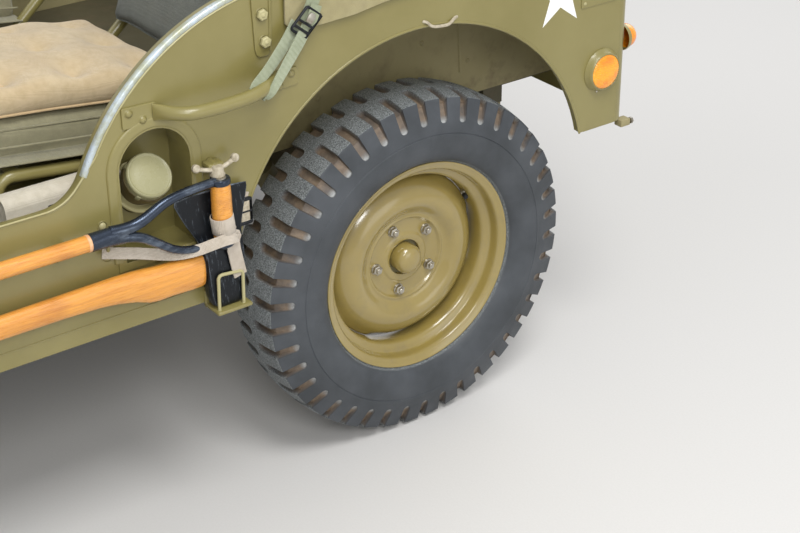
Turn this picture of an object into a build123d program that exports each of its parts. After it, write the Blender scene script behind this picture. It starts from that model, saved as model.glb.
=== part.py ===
"""A light open army car with four driven wheels, about 3.3 m long.

All lengths are in millimetres. x points to the car's left, y to its rear and z up.
The origin is on the ground under the middle of the car's box.
"""
from build123d import *
import os
from math import asin, atan2, cos, degrees, radians, sin, sqrt

os.makedirs("parts", exist_ok=True)


# Layout of the car
WHEELBASE = 2032.0
TRACK = 1245.0
REAR_AXLE_Y = 923.5
FRONT_AXLE_Y = REAR_AXLE_Y - WHEELBASE
BUMPER_Y = -1663.5
TAIL_Y = 1663.5
HALF_WIDTH = 787.5
WHEEL_X = TRACK / 2

# Tyres
TYRE_R = 358.0
TYRE_W = 160.0
TYRE_BARS = 42
BAR_W = 29.0
BAR_H = 17.0
TREAD_HALF = 67.0
SHOULDER_DROP = 24.0
TYRE_SIDES = 15
BEAD_GAP = 4.0
AXLE_Z = TYRE_R

# Steel wheels
RIM_FLANGE_R = 220.5
RIM_SEAT_R = 201.0
RIM_WELL_R = 180.0
RIM_HALF = 60.0
RIM_T = 4.0
DISC_T = 5.0
DISC_FLAT_R = 90.0
DISC_CROWN = 22.0
DISC_CROWN_R = 124.0
HUB_HOLE_R = 41.0
BOLT_PCD = 139.7
BOLT_COUNT = 5
STUD_R = 6.35
STUD_HOLE_R = 8.0
STUD_L = 20.0
NUT_FLATS = 20.6
NUT_H = 11.0

# Hubs, drums and stub axles
DRUM_R = 122.0
DRUM_DEPTH = 58.0
DRUM_T = 8.0
HUB_R = 38.0
HUB_NOSE = 12.0
CAP_R = 30.0
CAP_NOSE = 26.0
SPINDLE_R = 22.0
BEARING_GAP = 0.05
SPINDLE_END_GAP = 4.0
DRUM_GAP = 5.0
PLATE_T = 3.0
PLATE_R = 128.0

# Axles and steering
AXLE_TUBE_R = 38.0
DIFF_X = -150.0
DIFF_R = 118.0
DIFF_NOSE = 150.0
DIFF_NOSE_R = 42.0
KINGPIN_X = 530.0
KINGPIN_R = 12.0
YOKE_PLATE_X = 470.0
YOKE_PLATE_T = 12.0
YOKE_HALF_W = 18.0
YOKE_ARM_Z = 50.0
YOKE_ARM_T = 14.0
KNUCKLE_R = 27.0
KNUCKLE_GAP = 2.0
STEER_ARM = 160.0
STEER_ARM_W = 24.0
STEER_ARM_T = 16.0
STEER_PIN_R = 7.0
TIE_ROD_R = 11.0
TIE_EYE_R = 16.0
TIE_EYE_H = 20.0

# Chassis frame
RAIL_IN = 300.0
RAIL_W = 52.0
RAIL_H = 100.0
RAIL_WALL = 4.0
RAIL_TOP_MID = 498.0
RAIL_TOP_FRONT = 530.0
RAIL_TOP_REAR = 560.0
RAIL_REAR_Y = 1395.0
CROSS_W = 60.0
CROSS_H = 60.0
BUMPER_H = 150.0
BUMPER_D = 57.0
RAIL_FRONT_Y = BUMPER_Y + BUMPER_D
BUMPER_HALF = 692.0
BUMPER_T = 5.0
BUMPER_Z = 430.0
TOW_HOLE_R = 8.5

# Springs and dampers
LEAF_W = 44.0
LEAF_T = 7.0
LEAF_HALF = 457.0
LEAF_RISE = 56.0
EYE_R = 18.0
EYE_PIN_R = 8.0
SPRING_X = 326.0
SHOCK_R = 24.0
HANGER_T = 4.0

# Engine, gearbox, their seats and the radiator
ENGINE_Y = -900.0
ENGINE_L = 560.0
ENGINE_Z = 482.0
ENGINE_H = 440.0
ENGINE_HALF = 165.0
ENGINE_MOUNT_Y = -1010.0
GEARBOX_Z_LOW = 330.0
GEARBOX_H = 165.0
GEARBOX_W = 200.0
TRANSFER_Y = -260.0
TRANSFER_L = 170.0
TRANSFER_W = 150.0
TRANSFER_Z = 310.0
TRANSFER_H = 180.0
SADDLE_Y = -330.0
SADDLE_H = 36.0
SHAFT_TUBE_R = 25.0
RADIATOR_Y = -1260.0
RADIATOR_Z = 510.0
RADIATOR_T = 60.0
RADIATOR_H = 440.0

# Body
BODY_X = 728.0
SHEET = 3.0
EDGE_FLANGE = 18.0
RAIL_Z = 1033.0
SILL_Z = 474.0
REAR_EDGE_Z = 564.0
BODY_FRONT_Y = -340.0
BODY_REAR_Y = 1411.5
CORNER_R = 25.0
DOOR_FLAT_Z = 731.0
DOOR_ARC_R = 438.0
DOOR_ARC_Y = 603.5
DOOR_FILLET_R = 80.0
DOOR_FRONT_Y = -300.0
DOOR_FRONT_R = 200.0
ARCH_R = 415.0
ARCH_Y = 888.5
ARCH_Z = 466.0
FLOOR_Z = 505.0
REAR_FLOOR_Z = 600.0
REAR_FLOOR_Y = 560.0
HOUSE_X = 500.0
HOUSE_GAP = 11.0
HOUSE_FRONT_Y = 462.0

# Filler recess in the left side
FILLER_Y = 336.5
FILLER_Z = 745.0
RECESS_HALF_W = 67.0
RECESS_TOP = 83.0
RECESS_BOTTOM = 145.0
RECESS_DEPTH = 75.0
RECESS_BORDER = 15.0
RECESS_RAISE = 2.5
CAP_TILT = 50.0
FILLER_CAP_R = 42.0
FILLER_CAP_H = 26.0
NECK_R = 33.0

# Cowl, hood, fenders and grille
COWL_FRONT_Y = -560.0
COWL_FRONT_X = 532.0
COWL_Z = 1040.0
DASH_BOTTOM_Z = 840.0
HOOD_GAP = 6.0
HOOD_HINGE_X = 350.0
HOOD_HINGE_Z = 1047.0
HINGE_R = 6.5
HINGE_PIN_R = 4.0
HINGE_LUG = 40.0
HINGE_EAR = 8.0
HINGE_GAP = 1.0
HOOD_FRONT_Y = -1322.0
HOOD_FRONT_X = 402.0
HOOD_FRONT_Z = 1000.0
HOOD_SKIRT_Z = 852.0
HOOD_EDGE_R = 60.0
REST_X = 250.0
REST_GAP = 5.0
FENDER_Z = 840.0
FENDER_X = 735.0
FENDER_FRONT_Y = -1395.0
FENDER_KNEE_Y = -745.0
FENDER_FOOT_Y = -395.0
FENDER_LIP = 32.0
APRON_X = 398.0
GRILLE_Y = -1330.0
GRILLE_T = 14.0
GRILLE_HALF = 462.0
GRILLE_FOOT_HALF = 372.0
GRILLE_WAIST_Z = 700.0
GRILLE_TOP_Z = 1000.0
GRILLE_BOTTOM_Z = RAIL_TOP_FRONT
GRILLE_OPEN_HALF = 208.0
GRILLE_BARS = 9
GRILLE_BAR_W = 12.0
LAMP_X = 305.0
LAMP_Z = 880.0
LAMP_R = 80.0

# Windshield
SCREEN_Y = -352.0
SCREEN_HINGE_Z = 1073.0
SCREEN_HINGE_X = 500.0
SCREEN_HINGE_R = 10.0
SCREEN_BELOW = 18.0
SCREEN_RAKE = 8.0
SCREEN_HALF = 690.0
SCREEN_H = 560.0
SCREEN_T = 28.0
SCREEN_BAR = 34.0
SCREEN_LOWER = 125.0
HINGE_NOTCH = 16.0
SCREEN_CORNER_R = 55.0
GLASS_T = 6.0

# Seats
SEAT_X = 370.0
SEAT_HALF = 205.0
SEAT_FRONT_Y = 95.0
SEAT_DEPTH = 430.0
SEAT_FRONT_Z = 836.0
SEAT_TILT = 7.0
CUSHION_T = 75.0
LOOSE_T = 62.0
TUBE_R = 11.0
CROSS_TUBE_R = 10.0
BACK_Y = 548.0
BACK_Z = 800.0
BACK_H = 300.0
BACK_T = 45.0
BACK_LEAN = 12.0
REAR_SEAT_HALF = 430.0
REAR_SEAT_Y = 960.0
REAR_SEAT_DEPTH = 330.0
REAR_SEAT_Z = 850.0
REAR_BACK_T = 50.0
REAR_BACK_H = 190.0
SEAT_LEG_Y = 440.0

# Steering wheel and column
COLUMN_X = 345.0
HAND_WHEEL_Y = -75.0
HAND_WHEEL_Z = 1060.0
HAND_WHEEL_R = 219.0
HAND_RIM_R = 11.0
GEARBOX_Y = -930.0
GEARBOX_Z = 590.0
COLUMN_R = 19.0
SHAFT_TURN_R = 13.0
SHAFT_L = 90.0
COLUMN_DROP = 50.0

# Tools, handles and lamps on the body
HANDLE_R = 12.0
HANDLE_PLATE_T = 4.0
HANDLE_PLATE_L = 68.0
HANDLE_PLATE_H = 36.0
TOOL_X = 762.0
SHAFT_R = 14.0
SHOVEL_Z = 678.0
AXE_Z = 567.0
AXE_X = 748.0
STRAP_W = 24.0
STRAP_T = 3.0

# Spare wheel on the rear panel
SPARE_X = -320.0
SPARE_Z = 862.0
SPARE_Y = TAIL_Y - TYRE_W / 2

# Clearances between pieces
SOFT_GAP = 0.3


def save(part, name):
    """Label a finished piece and write it to its own file."""
    part.label = name
    export_step(part, f"parts/{name}.step")


def cylinder_between(start, end, radius):
    """A round bar from one point to another."""
    axis = Vector(*end) - Vector(*start)
    with BuildPart() as bar:
        with BuildSketch(Plane(origin=start, z_dir=axis)):
            Circle(radius)
        extrude(amount=axis.length)
    return bar.part


def bent_tube(points, bend, radius):
    """A round tube along straight runs joined by arcs of one radius."""
    with BuildPart() as tube:
        with BuildLine() as path:
            FilletPolyline(*points, radius=bend)
        with BuildSketch(path.line ^ 0):
            Circle(radius)
        sweep()
    return tube.part


# One steel wheel about the x axis, its outer side towards +x
rim_half = RIM_HALF - RIM_T / 2
rim_line = [
    (-rim_half, RIM_FLANGE_R),
    (-rim_half, RIM_SEAT_R + 1),
    (-rim_half + 27, RIM_SEAT_R - 4),
    (-rim_half + 40, RIM_WELL_R),
    (12, RIM_WELL_R),
    (25, RIM_SEAT_R - 4),
    (rim_half, RIM_SEAT_R + 1),
    (rim_half, RIM_FLANGE_R),
]
disc_mid = DISC_T / 2
disc_line = [
    (disc_mid, HUB_HOLE_R),
    (disc_mid, DISC_FLAT_R),
    (DISC_CROWN - 6, DISC_FLAT_R + 15),
    (DISC_CROWN, DISC_CROWN_R),
    (DISC_CROWN - 5, DISC_CROWN_R + 22),
    (8, RIM_WELL_R - 16),
    (-4, RIM_WELL_R - 2),
]
with BuildPart() as wheel:
    with BuildSketch():
        with BuildLine():
            Polyline(*rim_line)
        trace(line_width=RIM_T)
        with BuildLine():
            Polyline(*disc_line)
        trace(line_width=DISC_T)
    revolve(axis=Axis.X)
    with BuildSketch(Plane.YZ):
        with PolarLocations(BOLT_PCD / 2, BOLT_COUNT):
            Circle(STUD_HOLE_R)
    extrude(amount=DISC_T * 2, both=True, mode=Mode.SUBTRACT)

# One tyre about the x axis: a many-sided ring with cross bars
root_r = TYRE_R - BAR_H
bead_half = RIM_HALF - RIM_T
with BuildPart() as bar:
    with Locations((0, 0, root_r - BAR_H)):
        Box(2 * TREAD_HALF, BAR_W, 2 * BAR_H, align=(Align.CENTER, Align.CENTER, Align.MIN))
with BuildPart() as tyre:
    with BuildSketch(Plane.YZ):
        RegularPolygon(root_r, TYRE_BARS, major_radius=False, rotation=90)
        RegularPolygon(RIM_SEAT_R + RIM_T, TYRE_SIDES, major_radius=False, mode=Mode.SUBTRACT)
    extrude(amount=TYRE_W / 2, both=True)
    for side in (1, -1):
        with BuildSketch(Plane.YZ.offset(side * bead_half)):
            RegularPolygon(RIM_FLANGE_R + BEAD_GAP, TYRE_SIDES, major_radius=False)
        extrude(amount=side * TYRE_W / 2, mode=Mode.SUBTRACT)
    flanks = tyre.faces().filter_by(Axis.X).group_by(Axis.X)
    for flank in (flanks[0][0], flanks[-1][0]):
        chamfer(flank.outer_wire().edges(), length=SHOULDER_DROP, length2=TYRE_W / 2 - TREAD_HALF,
                reference=flank)
    add([bar.part.rotate(Axis.X, 360 / TYRE_BARS * i) for i in range(TYRE_BARS)])

# One hub with its brake drum, studs and nuts, on the same axis
cap_rise = CAP_NOSE - HUB_NOSE
cap_ball = (CAP_R ** 2 + cap_rise ** 2) / (2 * cap_rise)
cap_turn = asin(CAP_R / cap_ball) / 2
with BuildPart() as hub:
    with BuildSketch():
        with BuildLine():
            Polyline(
                (SPINDLE_END_GAP, 0),
                (SPINDLE_END_GAP, SPINDLE_R + BEARING_GAP),
                (-DRUM_DEPTH, SPINDLE_R + BEARING_GAP),
                (-DRUM_DEPTH, HUB_R),
                (-DRUM_T, HUB_R),
                (-DRUM_T, DRUM_R - DRUM_T),
                (-DRUM_DEPTH, DRUM_R - DRUM_T),
                (-DRUM_DEPTH, DRUM_R),
                (0, DRUM_R),
                (0, HUB_R),
                (HUB_NOSE, HUB_R),
                (HUB_NOSE, CAP_R),
            )
            ThreePointArc(
                (HUB_NOSE, CAP_R),
                (CAP_NOSE - cap_ball * (1 - cos(cap_turn)), cap_ball * sin(cap_turn)),
                (CAP_NOSE, 0),
            )
            Line((CAP_NOSE, 0), (SPINDLE_END_GAP, 0))
        make_face()
    revolve(axis=Axis.X)
    with BuildSketch(Plane.YZ):
        with PolarLocations(BOLT_PCD / 2, BOLT_COUNT):
            Circle(STUD_R)
    extrude(amount=STUD_L)
    with BuildSketch(Plane.YZ.offset(DISC_T)):
        with PolarLocations(BOLT_PCD / 2, BOLT_COUNT):
            RegularPolygon(NUT_FLATS / 2, 6, major_radius=False)
    extrude(amount=NUT_H)

# The corners of the car, as name, side and axle place
CORNERS = [
    ("front_left", 1, FRONT_AXLE_Y),
    ("front_right", -1, FRONT_AXLE_Y),
    ("rear_left", 1, REAR_AXLE_Y),
    ("rear_right", -1, REAR_AXLE_Y),
]
for corner, side, axle_y in CORNERS:
    turn = 0 if side > 0 else 180
    place = Location((side * WHEEL_X, axle_y, AXLE_Z), (0, 0, turn))
    for master, kind in ((wheel, "wheel"), (tyre, "tyre"), (hub, "hub")):
        with BuildPart() as placed:
            with Locations(place):
                add(master.part)
        save(placed.part, f"{kind}_{corner}")

spare_place = Location((SPARE_X, SPARE_Y, SPARE_Z), (0, 0, 90))
for master, kind in ((wheel, "wheel"), (tyre, "tyre")):
    with BuildPart() as placed:
        with Locations(spare_place):
            add(master.part)
    save(placed.part, f"{kind}_spare")

# Axle housings, one across each pair of wheels
plate_x = WHEEL_X - DRUM_DEPTH - DRUM_GAP - PLATE_T
with BuildPart() as axle_rear:
    with BuildSketch(Plane(origin=(-plate_x, REAR_AXLE_Y, AXLE_Z), z_dir=(1, 0, 0))):
        Circle(AXLE_TUBE_R)
    extrude(amount=2 * plate_x)
    for side in (1, -1):
        out = (side, 0, 0)
        with BuildSketch(Plane(origin=(side * plate_x, REAR_AXLE_Y, AXLE_Z), z_dir=out)):
            Circle(PLATE_R)
        extrude(amount=PLATE_T)
        with BuildSketch(Plane(origin=(side * plate_x, REAR_AXLE_Y, AXLE_Z), z_dir=out)):
            Circle(SPINDLE_R)
        extrude(amount=WHEEL_X - plate_x)
    with Locations((DIFF_X, REAR_AXLE_Y, AXLE_Z)):
        Sphere(DIFF_R)
    with BuildSketch(Plane(origin=(DIFF_X, REAR_AXLE_Y, AXLE_Z), z_dir=(0, -1, 0))):
        Circle(DIFF_NOSE_R)
    extrude(amount=DIFF_NOSE)
save(axle_rear.part, "axle_rear")

yoke_mid_x = (YOKE_PLATE_X + KINGPIN_X) / 2
with BuildPart() as axle_front:
    with BuildSketch(Plane(origin=(-YOKE_PLATE_X, FRONT_AXLE_Y, AXLE_Z), z_dir=(1, 0, 0))):
        Circle(AXLE_TUBE_R)
    extrude(amount=2 * YOKE_PLATE_X)
    for side in (1, -1):
        with Locations((side * (YOKE_PLATE_X + YOKE_PLATE_T / 2), FRONT_AXLE_Y, AXLE_Z)):
            Box(YOKE_PLATE_T, YOKE_HALF_W * 3, 2 * (YOKE_ARM_Z + YOKE_ARM_T))
        for level in (AXLE_Z + YOKE_ARM_Z, AXLE_Z - YOKE_ARM_Z - YOKE_ARM_T):
            with BuildSketch(Plane.XY.offset(level)):
                with Locations((side * yoke_mid_x, FRONT_AXLE_Y)):
                    Rectangle(KINGPIN_X - YOKE_PLATE_X, 2 * YOKE_HALF_W)
                with Locations((side * KINGPIN_X, FRONT_AXLE_Y)):
                    Circle(YOKE_HALF_W)
            extrude(amount=YOKE_ARM_T)
        with BuildSketch(Plane.XY.offset(AXLE_Z - YOKE_ARM_Z)):
            with Locations((side * KINGPIN_X, FRONT_AXLE_Y)):
                Circle(KINGPIN_R)
        extrude(amount=2 * YOKE_ARM_Z)
    with Locations((DIFF_X, FRONT_AXLE_Y, AXLE_Z)):
        Sphere(DIFF_R)
    with BuildSketch(Plane(origin=(DIFF_X, FRONT_AXLE_Y, AXLE_Z), z_dir=(0, 1, 0))):
        Circle(DIFF_NOSE_R)
    extrude(amount=DIFF_NOSE)
save(axle_front.part, "axle_front")

# Steering knuckles, each with its stub axle, backing plate and steering arm
knuckle_h = YOKE_ARM_Z - KNUCKLE_GAP
arm_y = FRONT_AXLE_Y - STEER_ARM
for label, side in (("left", 1), ("right", -1)):
    out = (side, 0, 0)
    with BuildPart() as knuckle:
        with BuildSketch(Plane.XY.offset(AXLE_Z - knuckle_h)):
            with Locations((side * KINGPIN_X, FRONT_AXLE_Y)):
                Circle(KNUCKLE_R)
        extrude(amount=2 * knuckle_h)
        with BuildSketch(Plane(origin=(side * KINGPIN_X, FRONT_AXLE_Y, AXLE_Z), z_dir=out)):
            Circle(SPINDLE_R)
        extrude(amount=WHEEL_X - KINGPIN_X)
        with BuildSketch(Plane(origin=(side * plate_x, FRONT_AXLE_Y, AXLE_Z), z_dir=out)):
            Circle(PLATE_R)
        extrude(amount=PLATE_T)
        with BuildSketch(Plane.XY.offset(AXLE_Z - STEER_ARM_T / 2)):
            with Locations((side * KINGPIN_X, FRONT_AXLE_Y - STEER_ARM / 2)):
                Rectangle(STEER_ARM_W, STEER_ARM)
            with Locations((side * KINGPIN_X, arm_y)):
                Circle(STEER_ARM_W / 2)
        extrude(amount=STEER_ARM_T)
        with BuildSketch(Plane.XY.offset(AXLE_Z)):
            with Locations((side * KINGPIN_X, arm_y)):
                Circle(STEER_PIN_R)
        extrude(amount=STEER_ARM_T / 2 + TIE_EYE_H + 3)
        with BuildSketch(Plane.XY.offset(AXLE_Z - knuckle_h)):
            with Locations((side * KINGPIN_X, FRONT_AXLE_Y)):
                Circle(KINGPIN_R + BEARING_GAP)
        extrude(amount=2 * knuckle_h, mode=Mode.SUBTRACT)
    save(knuckle.part, f"knuckle_{label}")

# Tie rod over the two steering arms
tie_z = AXLE_Z + STEER_ARM_T / 2 + 1 + TIE_EYE_H / 2
with BuildPart() as tie_rod:
    with BuildSketch(Plane(origin=(-KINGPIN_X, arm_y, tie_z), z_dir=(1, 0, 0))):
        Circle(TIE_ROD_R * 0.85)
    extrude(amount=2 * KINGPIN_X)
    with BuildSketch(Plane.XY.offset(tie_z - TIE_EYE_H / 2)):
        with Locations((-KINGPIN_X, arm_y), (KINGPIN_X, arm_y)):
            Circle(TIE_EYE_R)
    extrude(amount=TIE_EYE_H)
    with BuildSketch(Plane.XY.offset(tie_z - TIE_EYE_H / 2)):
        with Locations((-KINGPIN_X, arm_y), (KINGPIN_X, arm_y)):
            Circle(STEER_PIN_R + BEARING_GAP)
    extrude(amount=TIE_EYE_H, mode=Mode.SUBTRACT)
save(tie_rod.part, "tie_rod")

# Places of the springs, which the frame's hangers share
spring_top_z = AXLE_Z - AXLE_TUBE_R
eye_z = spring_top_z + LEAF_RISE - LEAF_T / 2

# Chassis frame: two channel rails with cross members, spring hangers and a tow hook
rail_line = [
    (RAIL_FRONT_Y, RAIL_TOP_FRONT),
    (-810, RAIL_TOP_FRONT),
    (-690, RAIL_TOP_MID),
    (REAR_FLOOR_Y + SHEET, RAIL_TOP_MID),
    (REAR_FLOOR_Y + 120, RAIL_TOP_REAR),
    (RAIL_REAR_Y, RAIL_TOP_REAR),
]
rail_outline = rail_line + [(y, z - RAIL_H) for y, z in reversed(rail_line)]
# Cross members as place along the car and height of the top
CROSS_MEMBERS = [
    (RAIL_FRONT_Y + 106.5, RAIL_TOP_FRONT - 20),
    (RADIATOR_Y, RADIATOR_Z),
    (120, RAIL_TOP_MID - 36),
    (720, RAIL_TOP_REAR - 20),
    (RAIL_REAR_Y - CROSS_W / 2, RAIL_TOP_REAR - 30),
]
rail_web_x = RAIL_IN + RAIL_W - RAIL_WALL
hook_z = RAIL_TOP_REAR - 55
with BuildPart() as chassis_frame:
    for side in (1, -1):
        web = Plane(origin=(side * (RAIL_IN + RAIL_W), 0, 0), x_dir=(0, 1, 0), z_dir=(1, 0, 0))
        mouth = Plane(origin=(side * RAIL_IN, 0, 0), x_dir=(0, 1, 0), z_dir=(1, 0, 0))
        with BuildSketch(web):
            Polygon(*rail_outline, align=None)
        extrude(amount=-side * RAIL_W)
        with BuildSketch(mouth):
            Polygon(*rail_outline, align=None)
            offset(amount=-RAIL_WALL, mode=Mode.REPLACE)
        extrude(amount=side * (RAIL_W - RAIL_WALL), mode=Mode.SUBTRACT)
    for cross_y, cross_z in CROSS_MEMBERS:
        with Locations((0, cross_y, cross_z)):
            Box(2 * rail_web_x, CROSS_W, CROSS_H, align=(Align.CENTER, Align.CENTER, Align.MAX))
    with Locations((0, SADDLE_Y, GEARBOX_Z_LOW)):
        Box(2 * (RAIL_IN + RAIL_W), CROSS_W, SADDLE_H, align=(Align.CENTER, Align.CENTER, Align.MAX))
    for side in (1, -1):
        toward = Align.MIN if side > 0 else Align.MAX
        with Locations((side * RAIL_IN, SADDLE_Y, GEARBOX_Z_LOW - SADDLE_H)):
            Box(RAIL_W, CROSS_W, RAIL_TOP_MID - RAIL_H - GEARBOX_Z_LOW + SADDLE_H,
                align=(toward, Align.CENTER, Align.MIN))
        with Locations((side * (ENGINE_HALF - 40), ENGINE_MOUNT_Y, ENGINE_Z)):
            Box(rail_web_x - ENGINE_HALF + 40, 50, 20, align=(toward, Align.CENTER, Align.MAX))
        for axle_y, under_z in (
            (FRONT_AXLE_Y, RAIL_TOP_FRONT - RAIL_H),
            (REAR_AXLE_Y, RAIL_TOP_REAR - RAIL_H),
        ):
            for end in (1, -1):
                hanger_y = axle_y + end * LEAF_HALF
                rail_z = RAIL_TOP_MID - RAIL_H if -690 < hanger_y < REAR_FLOOR_Y else under_z
                for cheek in (1, -1):
                    cheek_x = side * SPRING_X + cheek * (LEAF_W + HANGER_T + 1) / 2
                    with BuildSketch(Plane.YZ.offset(cheek_x - HANGER_T / 2)):
                        with Locations((hanger_y, eye_z)):
                            Circle(EYE_R)
                        with Locations((hanger_y, (eye_z + rail_z) / 2)):
                            Rectangle(2 * EYE_R, rail_z - eye_z)
                    extrude(amount=HANGER_T)
                with BuildSketch(Plane.YZ.offset(side * SPRING_X - LEAF_W / 2 - 1)):
                    with Locations((hanger_y, eye_z)):
                        Circle(EYE_PIN_R)
                extrude(amount=LEAF_W + 2)
                with Locations((side * SPRING_X, hanger_y, rail_z)):
                    Box(LEAF_W + HANGER_T * 2 + 1, 2 * EYE_R, HANGER_T,
                        align=(Align.CENTER, Align.CENTER, Align.MAX))
    with Locations((0, RAIL_REAR_Y, hook_z)):
        Box(110, 14, 70, align=(Align.CENTER, Align.MIN, Align.CENTER))
    with BuildSketch(Plane.YZ):
        with Locations((RAIL_REAR_Y + 52, hook_z)):
            Circle(40)
            Circle(20, mode=Mode.SUBTRACT)
        with Locations((RAIL_REAR_Y + 52, hook_z + 40)):
            Rectangle(22, 60, mode=Mode.SUBTRACT)
    extrude(amount=14, both=True)
save(chassis_frame.part, "chassis_frame")

# Front bumper, a channel open to the rear, on the front ends of the rails
with BuildPart() as front_bumper:
    with BuildSketch(Plane.YZ.offset(-BUMPER_HALF)):
        with BuildLine():
            Polyline(
                (BUMPER_Y, BUMPER_Z),
                (BUMPER_Y, BUMPER_Z + BUMPER_H),
                (BUMPER_Y + BUMPER_D - BUMPER_T, BUMPER_Z + BUMPER_H),
                (BUMPER_Y + BUMPER_D - BUMPER_T, BUMPER_Z + BUMPER_H - BUMPER_T),
                (BUMPER_Y + BUMPER_T, BUMPER_Z + BUMPER_H - BUMPER_T),
                (BUMPER_Y + BUMPER_T, BUMPER_Z + BUMPER_T),
                (BUMPER_Y + BUMPER_D - BUMPER_T, BUMPER_Z + BUMPER_T),
                (BUMPER_Y + BUMPER_D - BUMPER_T, BUMPER_Z),
                close=True,
            )
        make_face()
    extrude(amount=2 * BUMPER_HALF)
    rail_mid_x = RAIL_IN + RAIL_W / 2
    with Locations(
        (-rail_mid_x, BUMPER_Y + BUMPER_T, RAIL_TOP_FRONT - RAIL_H / 2),
        (rail_mid_x, BUMPER_Y + BUMPER_T, RAIL_TOP_FRONT - RAIL_H / 2),
    ):
        Box(RAIL_W, BUMPER_D - BUMPER_T, RAIL_H, align=(Align.CENTER, Align.MIN, Align.CENTER))
    with BuildSketch(Plane(origin=(0, BUMPER_Y, 0), x_dir=(1, 0, 0), z_dir=(0, -1, 0))):
        with Locations(
            (-rail_mid_x, RAIL_TOP_FRONT - RAIL_H / 2),
            (rail_mid_x, RAIL_TOP_FRONT - RAIL_H / 2),
        ):
            Circle(TOW_HOLE_R)
    extrude(amount=-BUMPER_D, mode=Mode.SUBTRACT)
save(front_bumper.part, "front_bumper")

# Leaf springs under the axles: leaves as length share and place in the pack
LEAVES = [(1.0, 0), (0.86, 1), (0.66, 2), (0.45, 3)]
leaf_bend = (LEAF_HALF ** 2 + LEAF_RISE ** 2) / (2 * LEAF_RISE)
with BuildPart() as leaf_springs:
    for axle_y in (FRONT_AXLE_Y, REAR_AXLE_Y):
        for side in (1, -1):
            plane = Plane(
                origin=(side * SPRING_X - LEAF_W / 2, axle_y, spring_top_z + leaf_bend),
                x_dir=(0, 1, 0),
                z_dir=(1, 0, 0),
            )
            for share, row in LEAVES:
                half_turn = degrees(LEAF_HALF * share / leaf_bend)
                outer = leaf_bend + (row + 1) * LEAF_T
                with BuildSketch(plane):
                    with BuildLine():
                        a1 = CenterArc((0, 0), outer, 270 - half_turn, 2 * half_turn)
                        a2 = CenterArc((0, 0), outer - LEAF_T, 270 - half_turn, 2 * half_turn)
                        Line(a1 @ 0, a2 @ 0)
                        Line(a1 @ 1, a2 @ 1)
                    make_face()
                extrude(amount=LEAF_W)
            for end in (1, -1):
                with Locations(Location((side * SPRING_X, axle_y + end * LEAF_HALF, eye_z), (0, 90, 0))):
                    Cylinder(EYE_R - 2, LEAF_W)
                    Cylinder(EYE_PIN_R + BEARING_GAP, LEAF_W, mode=Mode.SUBTRACT)
            with Locations((side * SPRING_X, axle_y, spring_top_z - LEAF_T * len(LEAVES) + 1)):
                Box(LEAF_W + 26, 90, 10, align=(Align.CENTER, Align.CENTER, Align.MAX))
save(leaf_springs.part, "leaf_springs")

# Dampers beside the rails, from the rail to the spring plate
with BuildPart() as dampers:
    for axle_y, lean, rail_z in (
        (FRONT_AXLE_Y, 1, RAIL_TOP_FRONT - RAIL_H / 2),
        (REAR_AXLE_Y, -1, RAIL_TOP_REAR - RAIL_H / 2),
    ):
        for side in (1, -1):
            shock_x = side * (RAIL_IN + RAIL_W + SHOCK_R + 2)
            low = (shock_x, axle_y + lean * 60, AXLE_Z - 60)
            high = (shock_x, axle_y + lean * 170, rail_z)
            add(cylinder_between(low, high, SHOCK_R))
            with Locations((side * (RAIL_IN + RAIL_W), high[1], rail_z)):
                Box(SHOCK_R, 24, 24, align=(Align.MIN if side > 0 else Align.MAX, Align.CENTER, Align.CENTER))
save(dampers.part, "dampers")

# Engine block, gearbox and transfer case
with BuildPart() as engine_block:
    with Locations((0, ENGINE_Y, ENGINE_Z)):
        Box(2 * ENGINE_HALF, ENGINE_L, ENGINE_H, align=(Align.CENTER, Align.CENTER, Align.MIN))
    fillet(engine_block.edges().filter_by(Axis.Y), 30)
save(engine_block.part, "engine_block")

engine_rear_y = ENGINE_Y + ENGINE_L / 2
transfer_end_y = TRANSFER_Y + TRANSFER_L
with BuildPart() as gearbox:
    with Locations((0, engine_rear_y, GEARBOX_Z_LOW)):
        Box(GEARBOX_W, transfer_end_y - engine_rear_y, GEARBOX_H, align=(Align.CENTER, Align.MIN, Align.MIN))
    with Locations((DIFF_X, TRANSFER_Y, TRANSFER_Z)):
        Box(TRANSFER_W, TRANSFER_L, TRANSFER_H, align=(Align.CENTER, Align.MIN, Align.MIN))
save(gearbox.part, "gearbox")

with BuildPart() as prop_shafts:
    for start_y, end_y in (
        (FRONT_AXLE_Y + DIFF_NOSE, TRANSFER_Y),
        (transfer_end_y, REAR_AXLE_Y - DIFF_NOSE),
    ):
        add(cylinder_between((DIFF_X, start_y, AXLE_Z), (DIFF_X, end_y, AXLE_Z), SHAFT_TUBE_R))
save(prop_shafts.part, "prop_shafts")

# Radiator core behind the grille
with BuildPart() as radiator:
    with Locations((0, RADIATOR_Y, RADIATOR_Z)):
        Box(2 * GRILLE_OPEN_HALF, RADIATOR_T, RADIATOR_H, align=(Align.CENTER, Align.CENTER, Align.MIN))
save(radiator.part, "radiator")

# Exhaust: pipe, silencer and tail pipe under the right side
silencer_x = -500.0
silencer_z = 398.0
pipe_z = RAIL_TOP_MID - RAIL_H - 28
with BuildPart() as exhaust:
    add(bent_tube([(-ENGINE_HALF, -700, 530), (-ENGINE_HALF - 60, -700, 530),
                   (-ENGINE_HALF - 60, -560, pipe_z), (silencer_x, -470, pipe_z),
                   (silencer_x, -220, silencer_z)], 30, 20))
    with BuildSketch(Plane(origin=(silencer_x, -230, silencer_z), z_dir=(0, 1, 0))):
        Circle(60)
    extrude(amount=440)
    add(bent_tube([(silencer_x, 205, silencer_z), (silencer_x, 330, silencer_z),
                   (-BODY_X + 20, 400, silencer_z)], 40, 18))
save(exhaust.part, "exhaust")

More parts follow.
